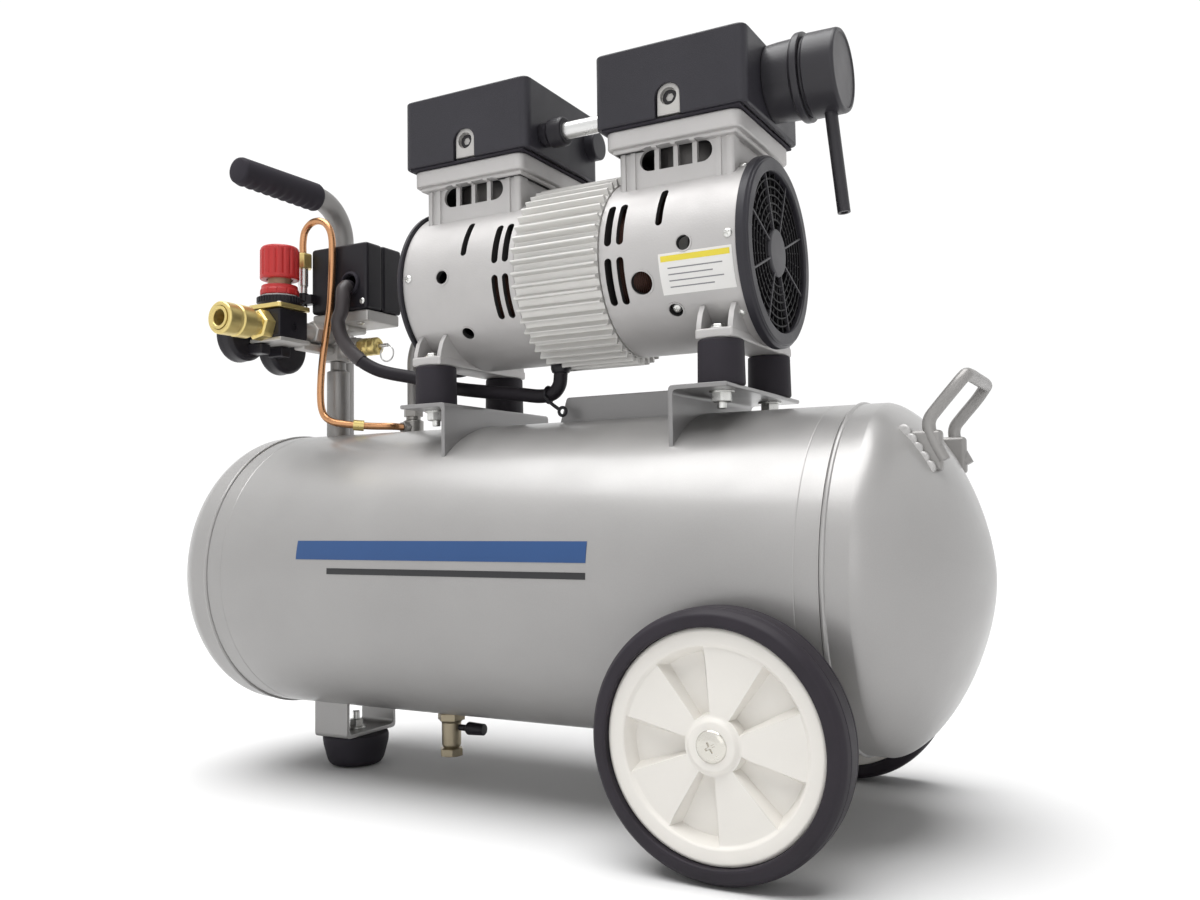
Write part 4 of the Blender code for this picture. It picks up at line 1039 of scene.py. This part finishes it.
def build_head(side, sign):
    """Moulded cover with a notch on two sides, and the casting with a screw behind each notch."""
    head_x = PUMP_X + sign * HEAD_OUT
    wide, deep = COVER_WIDE / 2, COVER_DEEP / 2
    corners = [(-wide, -deep), (wide, -deep), (wide, deep), (-wide, deep)]
    height = COVER_TOP - COVER_BOTTOM
    middle = COVER_BOTTOM + height / 2
    cover = outline([rounded(corners, 7.0, 6, closed=True)], height, (head_x, 0.0, middle), "Z", 1.6)
    inner = [(x * 0.92, y * 0.92) for x, y in corners]
    cut(cover, outline([rounded(inner, 5.0, 6, closed=True)], height, (head_x, 0.0, middle - 4.0)))
    notch = [(-9.3, -5.0), (9.3, -5.0)] + arc(9.3, 0.0, 180.0, 20, (0.0, 13.4))
    cut(cover, outline([notch], 2 * deep + 30.0, (head_x, 0.0, COVER_BOTTOM), "-Y"))
    if sign < 0:
        boss = [(0.0, 8.0), (11.0, 8.0), (11.0, -2.0), (0.0, -2.0)]
        join(cover, lathe(boss, 1.2, (head_x + wide, 41.0, 489.0), "X", 64))
    soften(cover, 0.7, 2, 50.0)
    show(cover, "hood_" + side, "charcoal", "head_cover_" + side)
    low, high = FLANGE_TOP + 0.1, COVER_BOTTOM - 0.1
    gasket = box((head_x - 50.5, -51.5, low), (head_x + 50.5, 51.5, high), 0.5, 1)
    show(gasket, "gasket_" + side, "black_rubber")
    lugs = []
    for turn in (0.0, 180.0):
        loop = [(-8.4, 0.0), (8.4, 0.0)] + arc(8.4, 0.0, 180.0, 20, (0.0, 13.4))
        lug = outline([loop], 9.0, (0.0, -(deep - 6.4), COVER_BOTTOM + 1.6), "-Y", 0.8)
        bore = rod(5.9, deep - 5.0, deep + 10.0, (0.0, 0.0, COVER_BOTTOM + 14.0), "-Y", 40)
        lugs.append(placed(spun(cut(lug, bore), turn), (head_x, 0.0, 0.0)))
    show(merge(*lugs), "head_lugs_" + side, "cast_aluminium")
    screws = []
    for axis, y in (("-Y", -(deep - 8.2)), ("Y", deep - 8.2)):
        screws.append(socket_screw((head_x, y, COVER_BOTTOM + 14.0), axis, 5.2, 4.0))
    show(merge(*screws), "head_screws_" + side, "dark_steel")


def build_mounts():
    low, high = SADDLE_TOP + 0.1, PAD_BOTTOM - 0.1
    profile = [(0.0, high), (15.0, high), (15.5, low), (0.0, low)]
    for side, sign in (("left", -1), ("right", 1)):
        x = PUMP_X + sign * MOUNT_OUT
        for face, y in (("front", -MOUNT_Y), ("back", MOUNT_Y)):
            mount = lathe(profile, 1.4, (x, y, 0.0), "Z", 96)
            name = side + "_" + face
            show(mount, "buffer_" + name, "mount_rubber", "mount_" + name)
            under = hexagon(12.0, 1.2, 7.5, (x, y, SADDLE_TOP - 3.0), "-Z", 15.0)
            plain = rod(8.2, 0.0, 1.4, (x, y, SADDLE_TOP - 3.0), "-Z", 40, 0.3)
            stud = rod(3.0, 7.0, 11.5, (x, y, SADDLE_TOP - 3.0), "-Z", 24, 0.6)
            show(merge(under, plain, stud), "mount_nut_" + name, "zinc")


def build_saddle(name, sign):
    """Folded steel saddle, cut to the tank's curve; the right one carries the rail."""
    half_y, thick = 71.0, 3.0
    near, far = PUMP_X + sign * SADDLE_IN, PUMP_X + sign * SADDLE_TIP
    fold = PUMP_X + sign * (SADDLE_IN - thick)
    section = [(fold, 236.0), (fold, SADDLE_TOP), (far, SADDLE_TOP), (far, SADDLE_TOP - thick)]
    section += [(near, SADDLE_TOP - thick), (near, 236.0)]
    bent = counterclockwise(rounded(section, 3.4, 4, closed=True))
    saddle = outline([bent], 2 * half_y, ORIGIN, "-Y", 0.4)
    # the darker paint here is painted shade under the pump
    show(on_tank(saddle), "saddle_plate_" + name, "shade_darkened_paint", "saddle_" + name)


def build_rail():
    """Folded rail along the top of the tank, with a round-topped end."""
    top, low = SADDLE_TOP + 5.0, 262.0
    right = PUMP_X + SADDLE_IN - 3.0
    loop = [(18.0, top), (10.0, low), (right, low), (right, top)]
    plate = outline([rounded(loop[::-1], 2.0, 3, closed=True)], 3.0, (0.0, -1.5, 0.0), "-Y", 0.5)
    # the darker paint here is painted shade under the pump
    show(on_tank(plate), "tank_rail", "shade_darkened_paint")


def build_air_path():
    y, z = -30.0, 476.7
    reach = HEAD_OUT - COVER_WIDE / 2 - 0.3
    at = (PUMP_X, y, z)
    link_tube = [(0.0, reach), (6.0, reach), (6.0, -9.0), (0.0, -9.0)]
    show(lathe(link_tube, 0.6, at, "X", 64), "link_tube", "bright_steel", "cross_tube")
    sleeve = [(0.0, -8.0), (9.6, -8.0), (10.5, -10.0), (10.5, -19.5), (8.8, -20.5), (8.8, -reach)]
    sleeve.append((0.0, -reach))
    show(lathe(sleeve, 0.9, at, "X", 64), "link_sleeve", "black_plastic")
    start = HEAD_OUT + COVER_WIDE / 2 + 0.1
    at = (PUMP_X, 0.0, 490.8)
    seam = 162.6
    base = [(0.0, seam), (29.5, seam), (29.5, 158.4), (28.4, 157.2), (26.6, 156.6), (26.2, 145.0)]
    base += [(25.6, start), (0.0, start)]
    show(lathe(base, 0.8, at, "X", 128), "filter_body", "filter_plastic", "filter_base")
    cap = [(0.0, 185.6), (24.0, 185.6), (24.6, 186.9), (26.6, 186.6), (27.5, 184.8), (27.8, seam + 3.0)]
    cap += [(26.4, seam + 2.2), (26.4, seam + 0.3), (0.0, seam + 0.3)]
    lid = lathe(cap, 0.6, at, "X", 128)
    drop = [(221.0, 0.0, 470.0), (221.6, 0.0, 462.0), (224.6, 0.0, 432.0), (228.3, 0.0, 395.8)]
    bore = tube([(227.9, 0.0, 401.0), (228.6, 0.0, 392.0)], 2.6, 4)
    join(lid, cut(tube(through(drop, 6), 4.3, 6), bore))
    show(lid, "filter_lid", "filter_plastic", "filter_cap")
    disc = rod(24.2, 185.4, 185.75, at, "X", 96)
    show(disc, "filter_end", "filter_face")


def build_pump():
    build_motor_housing()
    for side, sign in (("left", -1), ("right", 1)):
        build_crankcase(side, sign)
        build_bell_details(side, sign)
        build_end_windings(side, sign)
        build_guard(side, sign)
        build_fan(side, sign)
        build_head(side, sign)
        build_saddle(side, sign)
    build_rail()
    build_mounts()
    build_air_path()
    build_plain_label()
    repaint("stator", "laminations")
    repaint("rotor_shaft", "worn_steel")
    for side in ("left", "right"):
        repaint("cylinder_" + side, "worn_steel")
        repaint("piston_" + side, "cast_aluminium")
        repaint("cylinder_head_" + side, "cast_aluminium")


# ---- push handle -----------------------------------------------------------------------------
def build_push_handle():
    bend = 33.0
    points = [(HANDLE_X, HANDLE_Y, tank_height(HANDLE_Y) - 6.0), (HANDLE_X, HANDLE_Y, GRIP_Z - bend)]
    for across, up in arc(bend, 0.0, 90.0, 24)[1:]:
        points.append((HANDLE_X, HANDLE_Y - bend + across, GRIP_Z - bend + up))
    points.append((HANDLE_X, -78.0, GRIP_Z))
    bar = on_tank(tube(points, HANDLE_R, 12))
    show(bar, "push_tube", "grey_steel", "handle_tube")
    seam = []
    for x, y in circle(10.2, 32, (HANDLE_X, HANDLE_Y)):
        seam.append((x, y, tank_height(y) + 0.6))
    show(tube(seam, 2.2, 4, True), "push_weld", "weld")
    inner = HANDLE_R + 0.2
    side = []
    for step in range(81):
        along = 84.0 - step
        side.append((11.9 - 0.0105 * along, along))
    grip = [(0.0, 86.9), (8.4, 86.8), (10.4, 86.0)] + side + [(11.8, 2.0), (11.2, 0.4), (inner, 0.0)]
    grip += [(inner, 80.0), (0.0, 80.0)]
    handle_grip = turned(grip, (HANDLE_X, GRIP_END_Y, GRIP_Z), "-Y", 96)
    finger = 8.9
    for spot in handle_grip.data.vertices:
        x, y, z = spot.co.x / MM - HANDLE_X, spot.co.y / MM, spot.co.z / MM - GRIP_Z
        reach = math.hypot(x, z)
        if z < 0.0 and reach > inner + 0.8:
            spot.co.z -= 0.75 * MM * (z / reach) ** 2 * math.cos(2 * math.pi * y / finger)
    show(handle_grip, "grip_sleeve", "black_rubber", "handle_grip", angle=60.0)


# ---- switch, manifold and valves -------------------------------------------------------------
def build_manifold():
    x, y = RISER
    crown = TANK_Z + TANK_R
    at = (x, y, 0.0)
    riser = [(0.0, 331.8), (6.5, 331.8), (6.5, 324.4), (9.4, 323.2), (9.4, crown - 3.0), (0.0, crown - 3.0)]
    pipe = on_tank(lathe(riser, 0.8, at, "Z", 64))
    show(pipe, "riser_tube", "grey_steel", "riser_pipe")
    casting = hexagon(21.6, 332.0, 345.0, at, "Z", 8.0)
    barrel = lathe([(0.0, 360.5), (10.6, 360.5), (10.6, 343.0), (0.0, 343.0)], 1.0, at, "Z", 64)
    plate = box((x - 10.0, -20.0, 360.0), (-158.0, 20.0, 369.4), 1.6, 3)
    skirt = box((x - 4.0, -12.0, 355.0), (-186.0, 12.0, 361.0), 2.0, 3)
    arm = rod(8.5, 0.0, 25.8, (x, y, 342.0), "X", 48, 1.4)
    nut = hexagon(16.4, 15.0, 22.0, (x, y, 342.0), "X", 15.0)
    nipple = rod(7.2, 5.0, 44.2, (x, y, AIR_Z), "-Y", 48)
    union = hexagon(17.0, 22.0, 34.0, (x, y, AIR_Z), "-Y", 12.0)
    neck = rod(8.4, 14.0, 20.0, (x, y, AIR_Z), "-Y", 48, 0.8)
    lug = box((x - 7.0, -45.0, 337.0), (x + 5.0, -6.0, 343.0), 1.6, 3)
    rx, ry = REGULATOR
    base = box((rx - 17.0, ry - 15.5, 339.9), (rx + 17.0, ry + 17.0, 343.2), 1.0, 2)
    body = merge(casting, barrel, plate, skirt, arm, nut, nipple, union, neck, lug, base)
    show(body, "manifold_casting", "cast_aluminium", "manifold")
    screws = [pan_screw((px, -14.0, 360.1), "-Z", 3.0, 2.0) for px in (x + 4.0, -170.0)]
    show(merge(*screws), "manifold_screws", "zinc")


def build_switch():
    low_x, high_x = -217.2, -157.2
    low_z, high_z = 369.8, 424.7
    back = box((low_x, -1.6, low_z), (high_x, 22.0, high_z), 2.4, 4)
    cut(back, box((low_x + 3, -5.0, low_z + 3), (high_x - 3, 12.0, high_z - 3)))
    show(back, "switch_back", "black_plastic", "switch_base")
    front = box((low_x, -22.0, low_z), (high_x, -2.0, high_z), 2.8, 4)
    cut(front, box((low_x + 3, -19.0, low_z + 3), (high_x - 3, 0.0, high_z - 3)))
    groove = box((low_x - 2.0, -3.4, low_z - 2.0), (high_x + 2.0, -1.0, high_z + 2.0))
    cut(groove, box((low_x + 0.9, -4.0, low_z + 0.9), (high_x - 0.9, 0.0, high_z - 0.9)))
    window = box((low_x - 3, -17.0, 388.0), (low_x + 4, -7.0, 408.0), 0.6, 2)
    hole = rod(6.6, 17.0, 25.0, (-174.2, 0.0, 391.6), "-Y", 48)
    cut(front, groove, window, hole)
    valve_x, valve_y = -222.4, -26.0
    lug = box((valve_x - 2.0, valve_y - 2.0, 378.0), (low_x + 6.0, -20.0, 386.0), 0.8, 2)
    show(merge(front, lug), "switch_front", "black_plastic", "switch_cover")
    at = (valve_x, valve_y, 0.0)
    stem = [(0.0, 408.6), (4.3, 408.6), (4.3, 394.0), (3.6, 393.2), (3.6, 387.4), (0.0, 387.4)]
    show(lathe(stem, 0.5, at, "Z", 48), "unloader_stem", "bright_steel")
    tail = [(0.0, 387.4), (4.9, 387.4), (5.1, 381.0), (3.6, 380.2), (3.6, 376.0), (0.0, 376.0)]
    show(lathe(tail, 0.5, at, "Z", 48), "unloader_tail", "dark_steel")
    show(hexagon(13.4, 408.6, 421.0, at, "Z", 20.0, 1.2), "unloader_nut", "brass")
    rock_x, rock_z = low_x + 1.5, 398.0
    side = [(-3.6, -9.0), (1.2, -9.0), (1.2, 9.0), (-1.2, 9.0), (-2.0, 0.0)]
    key = outline([rounded(side, 0.6, 3, closed=True)], 9.0, (rock_x, -12.0, rock_z), "Y", 0.3)
    show(key, "rocker_key", "red_plastic", "switch_rocker", "switch_rocker")
    at = (-174.2, -22.0, 391.6)
    ring = [(7.8, 2.6), (9.4, 1.8), (9.8, -0.4), (7.0, -0.4), (7.0, 1.8)]
    show(lathe(ring, 0.7, at, "-Y", 64, ring=True), "cable_grommet", "black_rubber")
    at = (high_x - 4.5, -22.0, low_z + 6.0)
    show(pan_screw(at, "-Y", 2.6, 1.4), "switch_screw", "zinc")


def build_safety_valve():
    at = (RISER[0], RISER[1], 342.0)
    start = 26.0
    body = [(0.0, 42.8), (3.4, 42.8), (3.4, 44.0), (6.2, 44.0), (7.4, 42.8), (7.4, 38.0)]
    body += [(6.6, 37.4), (6.6, 36.4), (7.4, 35.8), (7.4, 32.0), (0.0, 32.0)]
    valve = merge(lathe(body, 0.3, at, "X", 64), hexagon(13.6, start, 32.4, at, "X", 0.0))
    show(valve, "relief_valve", "brass", "safety_valve_body")
    hang = 6.8
    ring_x = at[0] + 52.8
    loop = [(x, 0.0, z) for x, z in circle(hang, 64, (ring_x, at[2] - hang))]
    stem = lathe([(0.0, 54.0), (1.6, 54.0), (1.6, 44.3), (0.0, 44.3)], 0.5, at, "X", 32)
    show(merge(stem, tube(loop, 0.6, 5, True)), "relief_ring", "bright_steel", "safety_valve_ring",
         "safety_valve_ring")


def fluted(radius, low, high, flutes, depth, at):
    """A knob whose side carries shallow round-backed flutes."""
    loop = []
    for index in range(flutes * 8):
        part = (index % 8) / 8.0
        dip = depth * max(0.0, 1.0 - abs(part - 0.5) * 5.0)
        angle = 2 * math.pi * index / (flutes * 8)
        loop.append(((radius - dip) * math.cos(angle), (radius - dip) * math.sin(angle)))
    return outline([loop], high - low, (at[0], at[1], (high + low) / 2), "Z", 0.2)


def build_regulator():
    x, y = REGULATOR
    at = (x, y, 0.0)
    half = 15.5
    body = box((x - half, y - half, 343.4), (x + half, y + half, 366.4), 1.6, 3)
    cut(body, rod(3.2, half - 1.2, half + 4.0, (x, y, AIR_Z), "X", 32))
    collar = [(0.0, 377.4), (16.4, 377.4), (17.0, 376.6), (17.0, 370.4), (0.0, 370.4)]
    teeth = []
    count = 40
    for index in range(count):
        tooth = box((16.0, -0.7, 372.4), (17.8, 0.7, 376.8), 0.3, 1)
        teeth.append(placed(spun(tooth, 360.0 * index / count), at))
    neck = [(0.0, 394.0), (9.2, 394.0), (9.2, 377.0), (0.0, 377.0)]
    parts = merge(body, lathe(collar, 0.3, at, "Z", 96), *teeth)
    show(parts, "regulator_case", "black_plastic", "regulator_body")
    show(turned(neck, at, "Z", 64), "regulator_neck", "neck_brass")
    washer = [(14.6, 378.5), (14.6, 377.3), (9.3, 377.3), (9.3, 378.5)]
    pad = lathe(washer, 0.3, at, "Z", 80, 2, ring=True)
    show(pad, "regulator_washer", "label_white")
    corners = rounded([(-17.5, -17.5), (17.5, -17.5), (17.5, 17.5), (-17.5, 17.5)], 4.0, 6, closed=True)
    flange = outline([corners], 3.6, (x, y, 368.4), "Z", 0.5)
    show(flange, "regulator_flange", "brass")
    screws = []
    for across, along in ((-13.6, -13.6), (-13.6, 13.6), (13.6, -13.6), (13.6, 13.6)):
        screws.append(pan_screw((x + across, y + along, 370.0), "Z", 2.5, 1.5))
    show(merge(*screws), "flange_screws", "zinc")
    ring = [(13.4, 386.9), (14.2, 386.3), (14.4, 384.0), (15.2, 382.6), (15.2, 379.6), (14.8, 378.7)]
    ring += [(9.9, 378.7), (9.9, 386.9)]
    lock = lathe(ring, 0.5, at, "Z", 96, 2, ring=True)
    notches = []
    for across, along in arc(15.9, 8.0, 368.0, 12, (x, y))[:-1]:
        notches.append(rod(1.2, 378.0, 384.4, (across, along, 0.0), "Z", 16))
    show(cut(lock, *notches), "lock_ring", "red_plastic", "regulator_ring", "regulator_ring")
    knob = fluted(15.3, 394.4, 415.6, 16, 0.9, at)
    cap = [(0.0, 418.3), (13.4, 418.3), (14.8, 416.8), (14.9, 414.0), (0.0, 414.0)]
    lid = lathe(cap, 0.6, at, "Z", 96)
    hem = [(15.4, 394.8), (15.4, 392.4), (14.8, 391.7), (10.3, 391.7), (10.3, 394.8)]
    skirt = lathe(hem, 0.5, at, "Z", 96, 2, ring=True)
    merge(knob, lid, skirt)
    show(knob, "pressure_knob", "red_plastic", "regulator_knob", "regulator_knob")


def build_coupler():
    x, y = REGULATOR
    at = (x, y, AIR_Z)
    face = 15.6
    nut = merge(hexagon(21.4, face, 26.0, at, "-Y", 10.0, 1.4), rod(9.0, 25.5, 34.0, at, "-Y", 64))
    end = [(8.9, 62.0), (8.9, 33.0), (4.0, 33.0), (6.0, 36.0), (6.0, 61.0), (6.6, 62.0)]
    nose = lathe(end, 0.3, at, "-Y", 80, 2, ring=True)
    plug = rod(4.2, 30.0, 34.5, at, "-Y", 32)
    show(merge(nut, nose, plug), "coupler_core", "brass", "coupler_body")
    sleeve = [(9.3, 61.2), (11.4, 61.2), (12.5, 60.4), (12.6, 59.0), (12.6, 50.4), (11.7, 49.6)]
    sleeve += [(11.5, 48.2), (11.7, 47.0), (12.6, 46.2), (12.6, 35.0), (12.0, 34.0), (9.3, 33.9)]
    shell = lathe(sleeve, 0.4, at, "-Y", 96, 2, ring=True)
    show(shell, "coupler_shell", "brass", "coupler_sleeve", "coupler_sleeve")


def build_gauge(name, y, z, radius, block_y):
    """Dial gauge facing -X with a plain numberless scale and a needle."""
    x, deep = -232.0, 15.0
    at = (x, y, z)
    case = [(0.0, deep - 3.4), (radius - 2.9, deep - 3.4), (radius - 2.5, deep - 2.4)]
    case += [(radius - 1.6, deep - 0.1), (radius - 0.2, deep - 0.4), (radius, deep - 2.6)]
    case += [(radius - 0.5, deep - 6.0), (radius - 0.6, 3.0), (radius - 3.0, 0.2), (0.0, 0.0)]
    shell = lathe(case, 1.0, at, "-X", 96)
    stem = box((x - 2.0, block_y - 5.0, 331.4), (x + 14.0, block_y + 5.0, 339.5), 1.2, 3)
    show(merge(shell, stem), name + "_case", "black_plastic", name)
    face = rod(radius - 3.0, deep - 3.6, deep - 3.2, at, "-X", 96)
    show(face, name + "_dial", "label_white")
    front = x - deep + 3.1
    marks = []
    for index in range(21):
        angle = math.radians(-45.0 + 13.5 * index)
        long = index % 5 == 0
        reach = radius - (9.3 if long else 7.6)
        ends = []
        for distance in (reach, radius - 5.6):
            ends.append((front, y + distance * math.cos(angle), z + distance * math.sin(angle)))
        marks.append(tube(ends, 0.32 if long else 0.18, 1))
    needle = tube([(front - 0.8, y - 2.6, z - 2.6), (front - 0.8, y + 8.6, z + 8.6)], 0.4, 2)
    hub = rod(1.9, deep - 3.4, deep - 1.9, at, "-X", 32, 0.4)
    show(merge(*marks, needle, hub), name + "_scale", "decal_black")
    rim = radius - 1.9
    pane = [(0.0, deep - 0.8), (rim, deep - 1.3), (rim, deep - 1.6), (0.0, deep - 1.1)]
    glass = turned(pane, at, "-X", 96)
    show(glass, name + "_glass", "glass")


def build_check_valve():
    x, y = CHECK_VALVE
    at = (x, y, 0.0)
    body = [(0.0, 285.0), (6.0, 285.0), (6.0, 281.4), (8.4, 280.4), (8.4, 262.0), (0.0, 262.0)]
    port = (x, y, 274.6)
    valve = merge(lathe(body, 0.6, at, "Z", 64), hexagon(14.4, 284.0, 291.4, at, "Z", 20.0, 1.2),
                  rod(4.0, 0.0, 9.0, port, "-Y", 40), hexagon(8.2, 8.6, 14.9, port, "-Y", 6.0))
    show(on_tank(valve), "check_valve_body", "valve_steel", "check_valve")


UNLOADER_ROUTE = [
    (-222.4, -26.0, 421.4), (-222.4, -26.0, 431.0), (-220.2, -26.0, 440.0), (-213.0, -26.0, 446.0),
    (-203.5, -26.0, 446.4), (-195.5, -26.0, 441.5), (-190.8, -26.0, 431.0), (-190.2, -26.0, 412.0),
    (-191.4, -26.0, 387.4), (-193.0, -26.0, 370.0), (-196.9, -26.0, 350.0), (-200.0, -26.0, 335.0),
    (-202.2, -26.0, 318.0), (-203.0, -26.0, 301.0), (-201.5, -26.0, 289.5), (-197.0, -26.0, 282.4),
    (-189.5, -25.0, 278.4), (-181.0, -21.5, 276.6), (-172.0, -15.6, 275.4), (-163.0, -8.0, 274.8),
    (-153.5, -1.5, 274.6), (-149.7, 4.0, 274.6), (-149.0, 11.2, 274.6),
]
DISCHARGE_ROUTE = [
    (-149.0, 27.0, 291.9), (-149.0, 27.0, 316.0), (-149.0, 28.0, 336.0), (-146.0, 34.0, 352.0),
    (-137.0, 48.0, 368.0), (-122.0, 67.0, 388.0), (-102.0, 80.0, 412.0), (-78.0, 87.0, 440.0),
    (-55.0, 88.0, 466.0), (-42.0, 82.0, 482.0), (-38.1, 70.0, 488.0), (-38.1, 53.2, 488.0),
]
CABLE_ROUTE = [
    (-174.2, -22.4, 388.4), (-174.2, -26.5, 388.4), (-173.4, -31.4, 384.0), (-172.0, -33.6, 376.0),
    (-172.8, -34.0, 367.0), (-176.5, -34.0, 359.0), (-174.5, -33.0, 347.0), (-167.5, -31.0, 335.5),
    (-157.5, -28.0, 325.6), (-145.8, -24.0, 318.5), (-133.5, -20.0, 314.5), (-115.5, -14.0, 310.5),
    (-96.0, -11.0, 304.5), (-76.5, -11.0, 299.5), (-47.0, -10.0, 295.0), (-19.0, -8.0, 291.5),
    (-3.0, -7.0, 289.3), (7.5, -6.0, 290.5), (13.5, -6.0, 296.5), (15.0, -6.0, 305.8),
]


def build_lines():
    line = tube(through(UNLOADER_ROUTE), 2.9, 7)
    show(line, "copper_line", "copper", "unloader_line")
    pipe = tube(through(DISCHARGE_ROUTE), 5.0, 8)
    show(pipe, "delivery_pipe", "grey_steel", "discharge_pipe")
    nut = hexagon(15.0, 50.4, 60.0, (-38.1, 0.0, 488.0), "Y", 10.0, 1.0)
    show(nut, "delivery_nut", "brass")
    cable = tube(through(CABLE_ROUTE), 5.2, 8)
    show(cable, "supply_cable", "cable_sleeve", "motor_cable", angle=60.0)
    jacket = tube(through(CABLE_ROUTE[1:9]), 5.7, 8)
    show(jacket, "cable_jacket", "jacket", angle=60.0)
    gland = [(0.0, 3.0), (7.4, 3.0), (7.4, -1.0), (6.4, -4.0), (0.0, -4.0)]
    bush = lathe(gland, 0.8, (15.0, -6.0, 309.4), "Z", 48)
    show(bush, "cable_gland", "black_plastic")
    tie = [(4.5, y, z) for y, z in circle(6.0, 40, (-6.4, 289.8))]
    strap = [(4.5, -12.2, 288.4), (8.0, -13.4, 285.0), (13.0, -13.8, 281.0), (18.0, -13.8, 277.6)]
    eye = [(x, -13.8, z) for x, z in circle(3.0, 24, (20.6, 276.0))]
    held = merge(tube(tie, 1.0, 2, True), tube(through(strap, 8), 1.3, 3), tube(eye, 1.2, 3, True))
    show(held, "cable_tie", "black_plastic")
    show(tube([(-175.0, -17.8, 275.8), (-168.4, -12.6, 275.1)], 4.4, 6), "line_nut", "brass")


# ---- camera, floor and light -----------------------------------------------------------------
def build_camera():
    yaw, pitch, roll = math.radians(28.57), math.radians(3.19), math.radians(-0.83)
    ahead = Vector((-math.sin(yaw) * math.cos(pitch), math.cos(yaw) * math.cos(pitch), math.sin(pitch)))
    right = Vector((math.cos(yaw), math.sin(yaw), 0.0))
    up = right.cross(ahead)
    across = right * math.cos(roll) + up * math.sin(roll)
    upward = up * math.cos(roll) - right * math.sin(roll)
    camera = bpy.data.objects.new("camera", bpy.data.cameras.new("camera"))
    bpy.context.scene.collection.objects.link(camera)
    camera.data.sensor_width = 36.0
    camera.data.lens = 31.83
    camera.data.clip_start = 0.01
    camera.data.clip_end = 50.0
    camera.matrix_world = (Matrix.Translation((0.4135, -0.6790, 0.2044))
                           @ Matrix((across, upward, -ahead)).transposed().to_4x4())
    bpy.context.scene.camera = camera


def studio_material():
    """Pale matt floor with a barely uneven tone."""
    n = Nodes("studio_floor")
    tone = n.mix(n.spread(n.noise(3.0, 2.0), 0.0, 1.0), (0.74, 0.74, 0.74, 1.0), (0.78, 0.78, 0.78, 1.0))
    return n.feed(Base_Color=tone, Roughness=0.9, Specular_IOR_Level=0.1)


def area_light(name, place, target, size, power):
    light = bpy.data.lights.new(name, "AREA")
    light.shape = "RECTANGLE"
    light.size, light.size_y = size
    light.energy = power
    obj = bpy.data.objects.new(name, light)
    bpy.context.scene.collection.objects.link(obj)
    obj.location = place
    obj.rotation_euler = (Vector(target) - Vector(place)).to_track_quat("-Z", "Y").to_euler()


def build_backdrop():
    """A white wall that goes all round, far from the machine, and glows like a lit cyclorama."""
    bpy.ops.mesh.primitive_cylinder_add(vertices=96, radius=12.0, depth=12.0, end_fill_type="NOTHING",
                                        location=(0.0, 0.0, 5.9))
    wall = bpy.context.object
    wall.name = "studio_wall"
    n = Nodes("studio_wall")
    tone = n.mix(n.spread(n.noise(0.4, 1.0), 0.0, 1.0), (0.99, 0.99, 0.99, 1.0), (1.0, 1.0, 1.0, 1.0))
    glow = n.feed(Base_Color=(0.0, 0.0, 0.0, 1.0), Roughness=1.0, Specular_IOR_Level=0.0,
                  Emission_Color=tone, Emission_Strength=1.05)
    wall.data.materials.append(glow)
    wall.visible_diffuse = False
    wall.visible_shadow = False
    return wall


def build_studio():
    bpy.ops.mesh.primitive_plane_add(size=30.0, location=(0.0, 0.0, -0.0006))
    floor = bpy.context.object
    floor.name = "studio_floor"
    floor.data.materials.append(studio_material())
    world = bpy.data.worlds.new("studio")
    world.use_nodes = True
    world.node_tree.nodes["Background"].inputs["Color"].default_value = (1.0, 1.0, 1.0, 1.0)
    world.node_tree.nodes["Background"].inputs["Strength"].default_value = 0.28
    bpy.context.scene.world = world
    bpy.context.scene.view_settings.view_transform = "Standard"
    sky = bpy.data.lights.new("soft_sun", "SUN")
    sky.energy = 4.2
    sky.angle = math.radians(60.0)
    sun = bpy.data.objects.new("soft_sun", sky)
    bpy.context.scene.collection.objects.link(sun)
    sun.rotation_euler = Vector((0.12, 0.14, -1.0)).to_track_quat("-Z", "Y").to_euler()
    area_light("front", (0.9, -2.4, 0.9), (0.0, 0.0, 0.3), (1.6, 1.2), 4.0)
    build_backdrop()


build_tank()
build_tank_marks()
build_carry_handle()
build_drain()
for wheel_name, wheel_sign in (("front", -1), ("back", 1)):
    build_wheel(wheel_name, wheel_sign)
    build_wheel_bracket(wheel_name, wheel_sign)
build_foot()
build_pump()
build_push_handle()
build_manifold()
build_switch()
build_safety_valve()
build_regulator()
build_coupler()
build_gauge("gauge_tank", -31.0, 341.6, 21.5, -49.0)
build_gauge("gauge_line", -75.0, 346.4, 20.5, -71.0)
build_check_valve()
build_lines()
build_camera()
build_studio()
